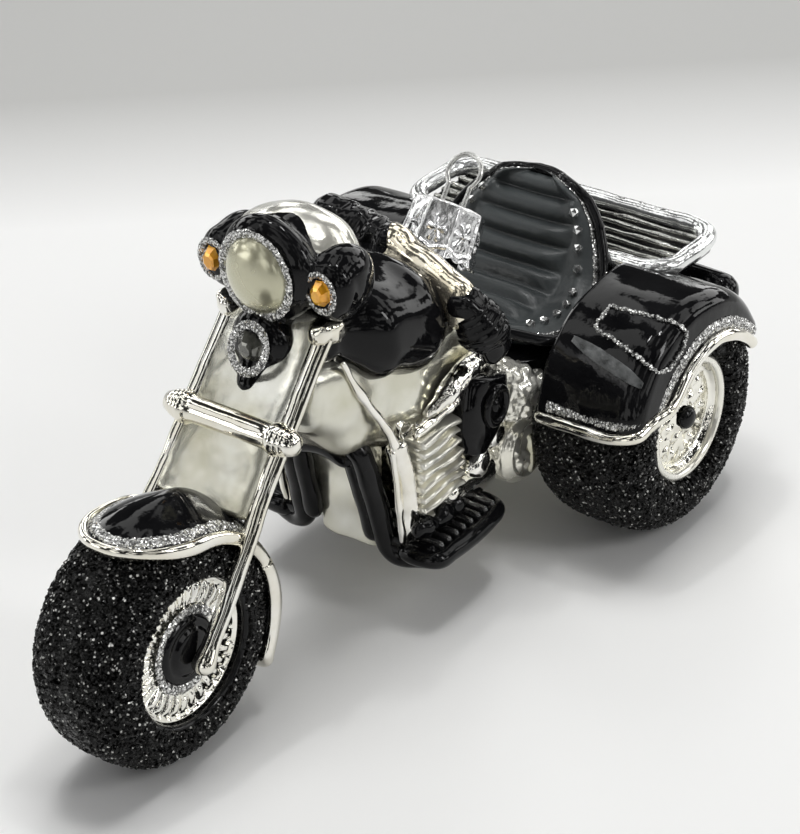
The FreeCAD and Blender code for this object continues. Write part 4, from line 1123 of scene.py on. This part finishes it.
# Rear body, fenders, rack and tail lamps
def rear_body():
    body = rounded_body(71.0, 47.6, 19.6, 21.0, 19.8, (
        (0.0, 0.62, 0.42, 0.74), (0.25, 0.92, 0.2, 0.70), (0.55, 1.0, 0.0, 0.74), (0.63, 1.0, 0.0, 1.0),
        (1.0, 0.98, 0.08, 1.0)), 4.2, 96, 80)
    ripple_mesh(body, 0.5, 9.0, 4)
    bed = pillow(-25.4, 25.4, 97.6, 119.4, 37.4, 40.7, 1.2)
    add_piece("rear_body_glass", joined([body, bed]), "black_glass", ["rear_body"])
    axle = swept_body((0, 75.6, 17.0), (0, 112.4, 17.0), (16.6, 6.6, 0.0), 4.0, 72, 60)
    crumple(axle, 6, 0.6)
    add_piece("axle_body_glass", axle, "satin_silver", ["axle_body"])


# Rear fenders: rows of angle and lip radius, of share across and front angle, and the panel's corners
fender_middle = Vector((25, rear_hub.y, rear_hub.z))
fender_end = 62.0
stroke_thickness = 0.3
fender_lips = (
    (-75.0, 19.5), (-69.0, 17.6), (-63.0, 15.2), (-57.0, 13.5), (-50.0, 12.6), (-37.0, 12.3), (-18.0, 12.9),
    (0.0, 13.8), (20.0, 14.7), (42.0, 15.7), (64.0, 17.4))
fender_starts = (
    (0.0, -73.5), (0.45, -73.5), (0.60, -71.5), (0.75, -68.0), (0.88, -63.0), (1.0, -55.0))
panel_corners = (
    (0.20, -18.0), (0.32, -17.6), (0.44, -17.0), (0.60, -15.0), (0.70, -13.6), (0.76, -14.6), (0.80, -18.5),
    (0.81, -26.0), (0.79, -33.5), (0.75, -37.4), (0.68, -38.6), (0.54, -37.6), (0.42, -34.4), (0.30, -32.4),
    (0.22, -31.8), (0.19, -29.0), (0.185, -23.0))


def fender_lip(angle):
    """Radius of the fender's lower lip at an angle from straight up, rearwards positive."""
    return sum(read_table(fender_lips, angle + shift)[0] for shift in (-6, -3, 0, 3, 6)) / 5


def fender_start(across):
    """Angle of the fender's front edge, which rounds off towards the lip."""
    return softened(fender_starts, across)[0]


def fender_point(across, angle):
    """A point on the left rear fender; across runs from its inner edge over the shoulder down to the lip."""
    curl = 0.9 * max(0.0, (-50.0 - angle) / 23.0) ** 2
    shoulder = 19.4 - 0.4 * curl
    if across < 0.5:
        part = across / 0.5
        x, radius = 19.9 + 14.7 * part, 22.6 - 0.25 * part ** 3 - curl
    elif across < 0.75:
        turn = math.pi / 2 * (across - 0.5) / 0.25
        top = 22.35 - curl
        x, radius = 34.6 + 3.9 * math.sin(turn), top - (top - shoulder) * (1 - math.cos(turn))
    else:
        part = (across - 0.75) / 0.25
        x, radius = 38.5 + 0.4 * part, shoulder + (fender_lip(angle) - shoulder) * part
    return around(rear_hub, x, radius, math.radians(angle))


def rear_fenders():
    def place(u, v):
        return spot(*fender_point(v, fender_start(v) * (1 - u) + fender_end * u))

    fender = bent_sheet(120, 64, place)
    give_wall(fender, spot(*rear_hub), fender_wall)
    ripple_mesh(fender, 0.4, 9.0, 6)
    other = mirror_image(fender)
    add_piece("fender_glass_left", fender, "black_glass", ["fender_left"])
    add_piece("fender_glass_right", other, "black_glass", ["fender_right"])
    line = [fender_point(step / 80, fender_start(step / 80) - 0.4) for step in range(2, 80)]
    low = fender_start(1.0)
    line += [fender_point(1.0, low + (fender_end - low) * share) + sideways * 0.1 for share in shares(110)]
    for _ in range(6):
        line[1:-1] = [(before + here * 2 + after) / 4
                      for before, here, after in zip(line, line[1:], line[2:])]
    edge = tube(smooth_path(line, 2), 1.1, 14, across=(1, 0.3, 0))
    ripple_mesh(edge, 0.2, 4.4, 6)
    add_piece("fender_rolled_edges", mirrored(edge), "silvered_glass", ["fender_edges"],
              material=silver_smooth)
    fender_bands()
    dots = panel_dots()
    fender_stroke()
    add_glitter("fender_panel_glitter", mirrored(joined(dots)))


def fender_bands():
    """Flakes along the lip and behind the front edge."""
    path = [fender_point(0.94, -57.0 + 118.5 * share) for share in shares(260)]
    inward = [Vector((0, point.y - rear_hub.y, point.z - rear_hub.z)).normalized() for point in path]
    lip_band = glitter_band(path, inward, [sideways] * len(path), 2.1, 41, 5)
    steps = [0.06 + 0.87 * share for share in shares(150)]
    front = [fender_point(share, fender_start(share) + 2.8) for share in steps]
    behind = [(fender_point(share, fender_start(share) + 8.0) - point).normalized()
              for share, point in zip(steps, front)]
    rise = [(point - fender_middle).normalized() for point in front]
    add_glitter("fender_glitter", mirrored(joined([lip_band, glitter_band(front, behind, rise, 2.0, 42, 5)])))


def panel_dots():
    """Loose dots of flakes along the outline of the fender's panel."""
    dots = []
    dice = random.Random(50)
    for start, end in zip(panel_corners, panel_corners[1:] + panel_corners[:1]):
        count = max(2, round((fender_point(*end) - fender_point(*start)).length / 0.4))
        for share in shares(count)[:-1]:
            place_at = fender_point(start[0] + (end[0] - start[0]) * share + dice.uniform(-0.006, 0.006),
                                    start[1] + (end[1] - start[1]) * share + dice.uniform(-0.7, 0.7))
            place_at += (place_at - fender_middle).normalized() * 0.25
            dots.append(bead(place_at, dice.uniform(0.28, 0.45)))
    return dots


def fender_stroke():
    """One stroke of a dry brush in front of the panel."""

    def place(u, v):
        width = 6.5 * math.sin(math.pi * (0.05 + 0.9 * u)) ** 0.5
        return spot(*fender_point(0.10 + 0.52 * u, -36.5 - 9.5 * u ** 1.6 - width * v))

    stroke = bent_sheet(60, 20, place)
    give_wall(stroke, spot(*rear_hub), stroke_thickness)
    for vert in stroke.verts:
        vert.co += (vert.co - spot(*rear_hub)).normalized() * stroke_thickness * millimetre
    ripple_mesh(stroke, 0.12, 1.3, 8)
    add_piece("fender_brush_stroke", mirrored(stroke), "black_matt", material=brushed_satin)


def rack_outline(half, low_y, high_y, z, corner):
    """The rack frame's rounded oblong, open in front behind the seat."""
    line = [Vector((13.0, low_y, z))]
    for x, y, start in ((half, low_y, -90), (half, high_y, 0), (-half, high_y, 90), (-half, low_y, 180)):
        centre = Vector((x - math.copysign(corner, x), y + (corner if y == low_y else -corner), z))
        for share in shares(8):
            turn = math.radians(start + share * 90)
            line.append(centre + Vector((math.cos(turn), math.sin(turn), 0)) * corner)
    line.append(Vector((-13.0, low_y, z)))
    ring = []
    for point, after in zip(line, line[1:]):
        count = max(1, round((after - point).length / 0.5))
        ring += [point.lerp(after, share) for share in shares(count)[:-1]]
    return ring


def rack():
    ring = rack_outline(26.6, 101.4, 118.9, 42.0, 5.2)
    frame_tube = tube(ring, 1.55, 20)
    ripple_mesh(frame_tube, 0.2, 4.4, 3)
    add_piece("rack_frame_glass", frame_tube, "silver_rack", ["rack_frame"])
    inward = []
    for point in ring:
        way = Vector((-point.x, 108.7 - point.y, 0))
        way.x *= 0.3 if abs(point.x) < 20 else 1.0
        way.y *= 0.3 if abs(point.x) > 25 else 1.0
        inward.append(way.normalized())
    path = [point - way * 0.2 + upright * 1.6 for point, way in zip(ring, inward)]
    band = glitter_band(path, [(way * 0.8 - upright * 0.5).normalized() for way in inward],
                        [upright] * len(ring), 1.7, 61, 4)
    add_glitter("rack_glitter", band)
    slats = []
    for step in range(6):
        y = 103.9 + step * 2.55
        slat = swept_body((-24.4, y, 40.8), (24.4, y, 40.8), (0.48, 0.75, 0.0), 2.4, 16, 60, side=rearward,
                          roundness=8.0)
        ripple_mesh(slat, 0.3, 4.0, 60 + step)
        slats.append(slat)
    # The slats take the darker copy of the silver paint, a painted shade
    add_piece("rack_slat_glass", joined(slats), "silver_rack", ["rack_slats"], material=slat_silver)
    lamp = tube([(17.0, 116.2, 32.5), (22.7, 116.4, 32.5), (28.5, 116.2, 32.5)], 3.3, 28)
    ripple_mesh(lamp, 0.4, 4.0, 3)
    add_piece("tail_lamp_glass", mirrored(lamp), "black_glass", ["tail_lamps"])


# Cap: its facets, and the shares of its profile that are wall and shoulder
neck_up = lean_way(40)
neck_front = neck_up.cross(sideways)
half_facet = math.pi / 8
cap_facets = 8
wall_share, shoulder_share = 0.62, 0.75


def on_neck(along):
    return Vector((0, 71.3, 47.8)) + neck_up * along


def cap_side(part, turn, offset):
    """Reach and height of the cap's wall, with its scallops, stars and folds; part runs from its rim up."""
    scallop = 0.55 * (1 - abs(math.cos(turn * cap_facets)) ** 0.7) * (1 - part) ** 6
    reach = (6.75 - 0.65 * part) * math.cos(half_facet) / math.cos(offset) + 0.35 * swell(part, 0, 0.12)
    up_share = (part - 0.52) / 0.3
    side_share = offset / (2 * half_facet) / 0.36
    arm = math.hypot(up_share, side_share)
    star = abs(math.cos(3 * math.atan2(up_share, side_share))) ** 3
    flake = 0.55 * star * max(0.0, 1 - arm) ** 0.5 + 0.2 * swell(arm, 0, 0.25)
    chevron = 0.28 * max(0.0, 1 - abs(part - 0.1 - 0.08 * abs(side_share)) / 0.05)
    fold = 0.16 * swell(abs(offset), half_facet, 0.05)
    return reach + flake + chevron + fold, 3.4 + 8.3 * part + scallop


def cap():
    def place(u, v):
        turn = 2 * math.pi * u
        offset = (turn % (2 * half_facet)) - half_facet
        flat = math.cos(half_facet) / math.cos(offset)
        if v < wall_share:
            reach, along = cap_side(v / wall_share, turn, offset)
        elif v < shoulder_share:
            part = (v - wall_share) / (shoulder_share - wall_share)
            reach = 6.1 * flat - 0.9 * part ** 2 + 0.12 * math.sin(math.pi * part)
            along = 11.7 + 0.7 * math.sin(part * math.pi / 2)
        else:
            reach = 5.2 * flat * (1 - v) / (1 - shoulder_share)
            along = 12.4 - 0.45 * swell(reach, 4.4, 0.3) - 0.25 * max(0.0, 1 - reach / 4.0)
        return spot(*(on_neck(along) + (sideways * math.cos(turn) + neck_front * math.sin(turn)) * reach))

    bm = bent_sheet(200, 84, place)
    crumple(bm, 3, 0.16)
    give_wall(bm, spot(*on_neck(7)), 0.3)
    add_piece("cap_tin_shell", bm, "cap_metal", ["cap"], body="cap")


front_wheel()
rear_wheels()
front_fender()
fork()
headlamp()
handlebar()
tank_and_spine()
frame_front()
engine()
footboards()
seat()
rear_body()
rear_fenders()
rack()
cap()


# Floor, light and view: the room's brightness by height, and lamps in metres and watts
room_tones = ((0.0, 0.9), (0.22, 1.1), (0.40, 0.9), (0.62, 0.55), (1.0, 0.50))


def add_floor():
    bm = bmesh.new()
    bmesh.ops.create_grid(bm, x_segments=1, y_segments=1, size=3.0)
    mesh = bpy.data.meshes.new("floor")
    bm.to_mesh(mesh)
    bm.free()
    floor = in_scene("floor", mesh)
    material, paint, shader = new_material("paper sweep")
    place = paint.filled("ShaderNodeSeparateXYZ", {0: paint.here()})
    # The paper is painted darker farther from the camera: painted shade where less light reaches the far part
    painted_far_shade = paint.spread(paint.along(place, -0.624, 0.781), 0.135, 0.20, 0.0, 1.0)
    paint.link(paint.blend(painted_far_shade, (0.90, 0.90, 0.885, 1), (0.50, 0.50, 0.485, 1)), shader.inputs["Base Color"])
    shader.inputs["Roughness"].default_value = 0.6
    mesh.materials.append(material)


def add_lamp(name, place, aim, width, height, watts, mirrored_in_glass=True):
    lamp = bpy.data.lights.new(name, "AREA")
    lamp.shape = "RECTANGLE"
    lamp.size, lamp.size_y = width, height
    lamp.energy = watts
    holder = in_scene(name, lamp)
    holder.location = place
    holder.rotation_euler = (Vector(place) - Vector(aim)).to_track_quat("Z", "Y").to_euler()
    holder.visible_glossy = mirrored_in_glass


def add_world():
    """A pale room for the eye and for reflections, darker overhead and behind the camera."""
    world = bpy.data.worlds.new("room")
    bpy.context.scene.world = world
    world.use_nodes = True
    paint = Painter(world.node_tree)
    ground = world.node_tree.nodes["Background"]
    sky_way = paint.here("Generated")
    way = paint.filled("ShaderNodeSeparateXYZ", {0: sky_way})
    ramp = paint.node("ShaderNodeValToRGB")
    tones = ramp.color_ramp.elements
    tones[0].position, tones[1].position = room_tones[0][0], room_tones[-1][0]
    for height, _ in room_tones[1:-1]:
        tones.new(height)
    for element, (_, tone) in zip(tones, room_tones):
        element.color = (tone, tone, tone * 0.985, 1)
    paint.link(paint.maths("MAXIMUM", way.outputs[2], 0.0), ramp.inputs[0])
    shade = paint.spread(paint.along(way, 0.62, -0.78), 0.1, 0.7, 1.0, 0.4)
    windows = paint.spread(paint.noise(sky_way, 3.9, 1.0, 0.5), 0.495, 0.55, 0.05, 3.1)
    room = paint.blend(1.0, ramp.outputs[0], paint.maths("MULTIPLY", shade, windows), "MULTIPLY")
    rays = paint.node("ShaderNodeLightPath")
    seen = paint.maths("ADD", rays.outputs["Is Glossy Ray"], rays.outputs["Is Transmission Ray"], clamp=True)
    light = paint.blend(seen, (0.275, 0.275, 0.28, 1), room)
    view = paint.blend(rays.outputs["Is Camera Ray"], light, (0.6, 0.6, 0.59, 1))
    paint.link(view, ground.inputs["Color"])
    ground.inputs["Strength"].default_value = 1.0


add_floor()
add_world()
add_lamp("overhead box", (-0.05, 0.10, 0.75), (0, 0, 0), 0.42, 0.32, 2.62, False)
add_lamp("ceiling lamp", (-0.12, 0.02, 0.75), (0, 0, 0), 0.09, 0.03, 0.42)
add_lamp("second ceiling lamp", (0.10, 0.16, 0.75), (0, 0, 0), 0.09, 0.03, 0.42)
add_lamp("back left box", (-0.32, 0.55, 0.50), (0, 0, 0.03), 0.20, 0.25, 0.8, False)
add_lamp("front left window", (-0.42, -0.45, 0.54), (0, 0, 0.03), 0.30, 0.30, 0.26)
add_lamp("right box", (0.60, 0.10, 0.45), (0, 0, 0.03), 0.10, 0.25, 0.8)
bpy.context.scene.view_settings.view_transform = "Standard"
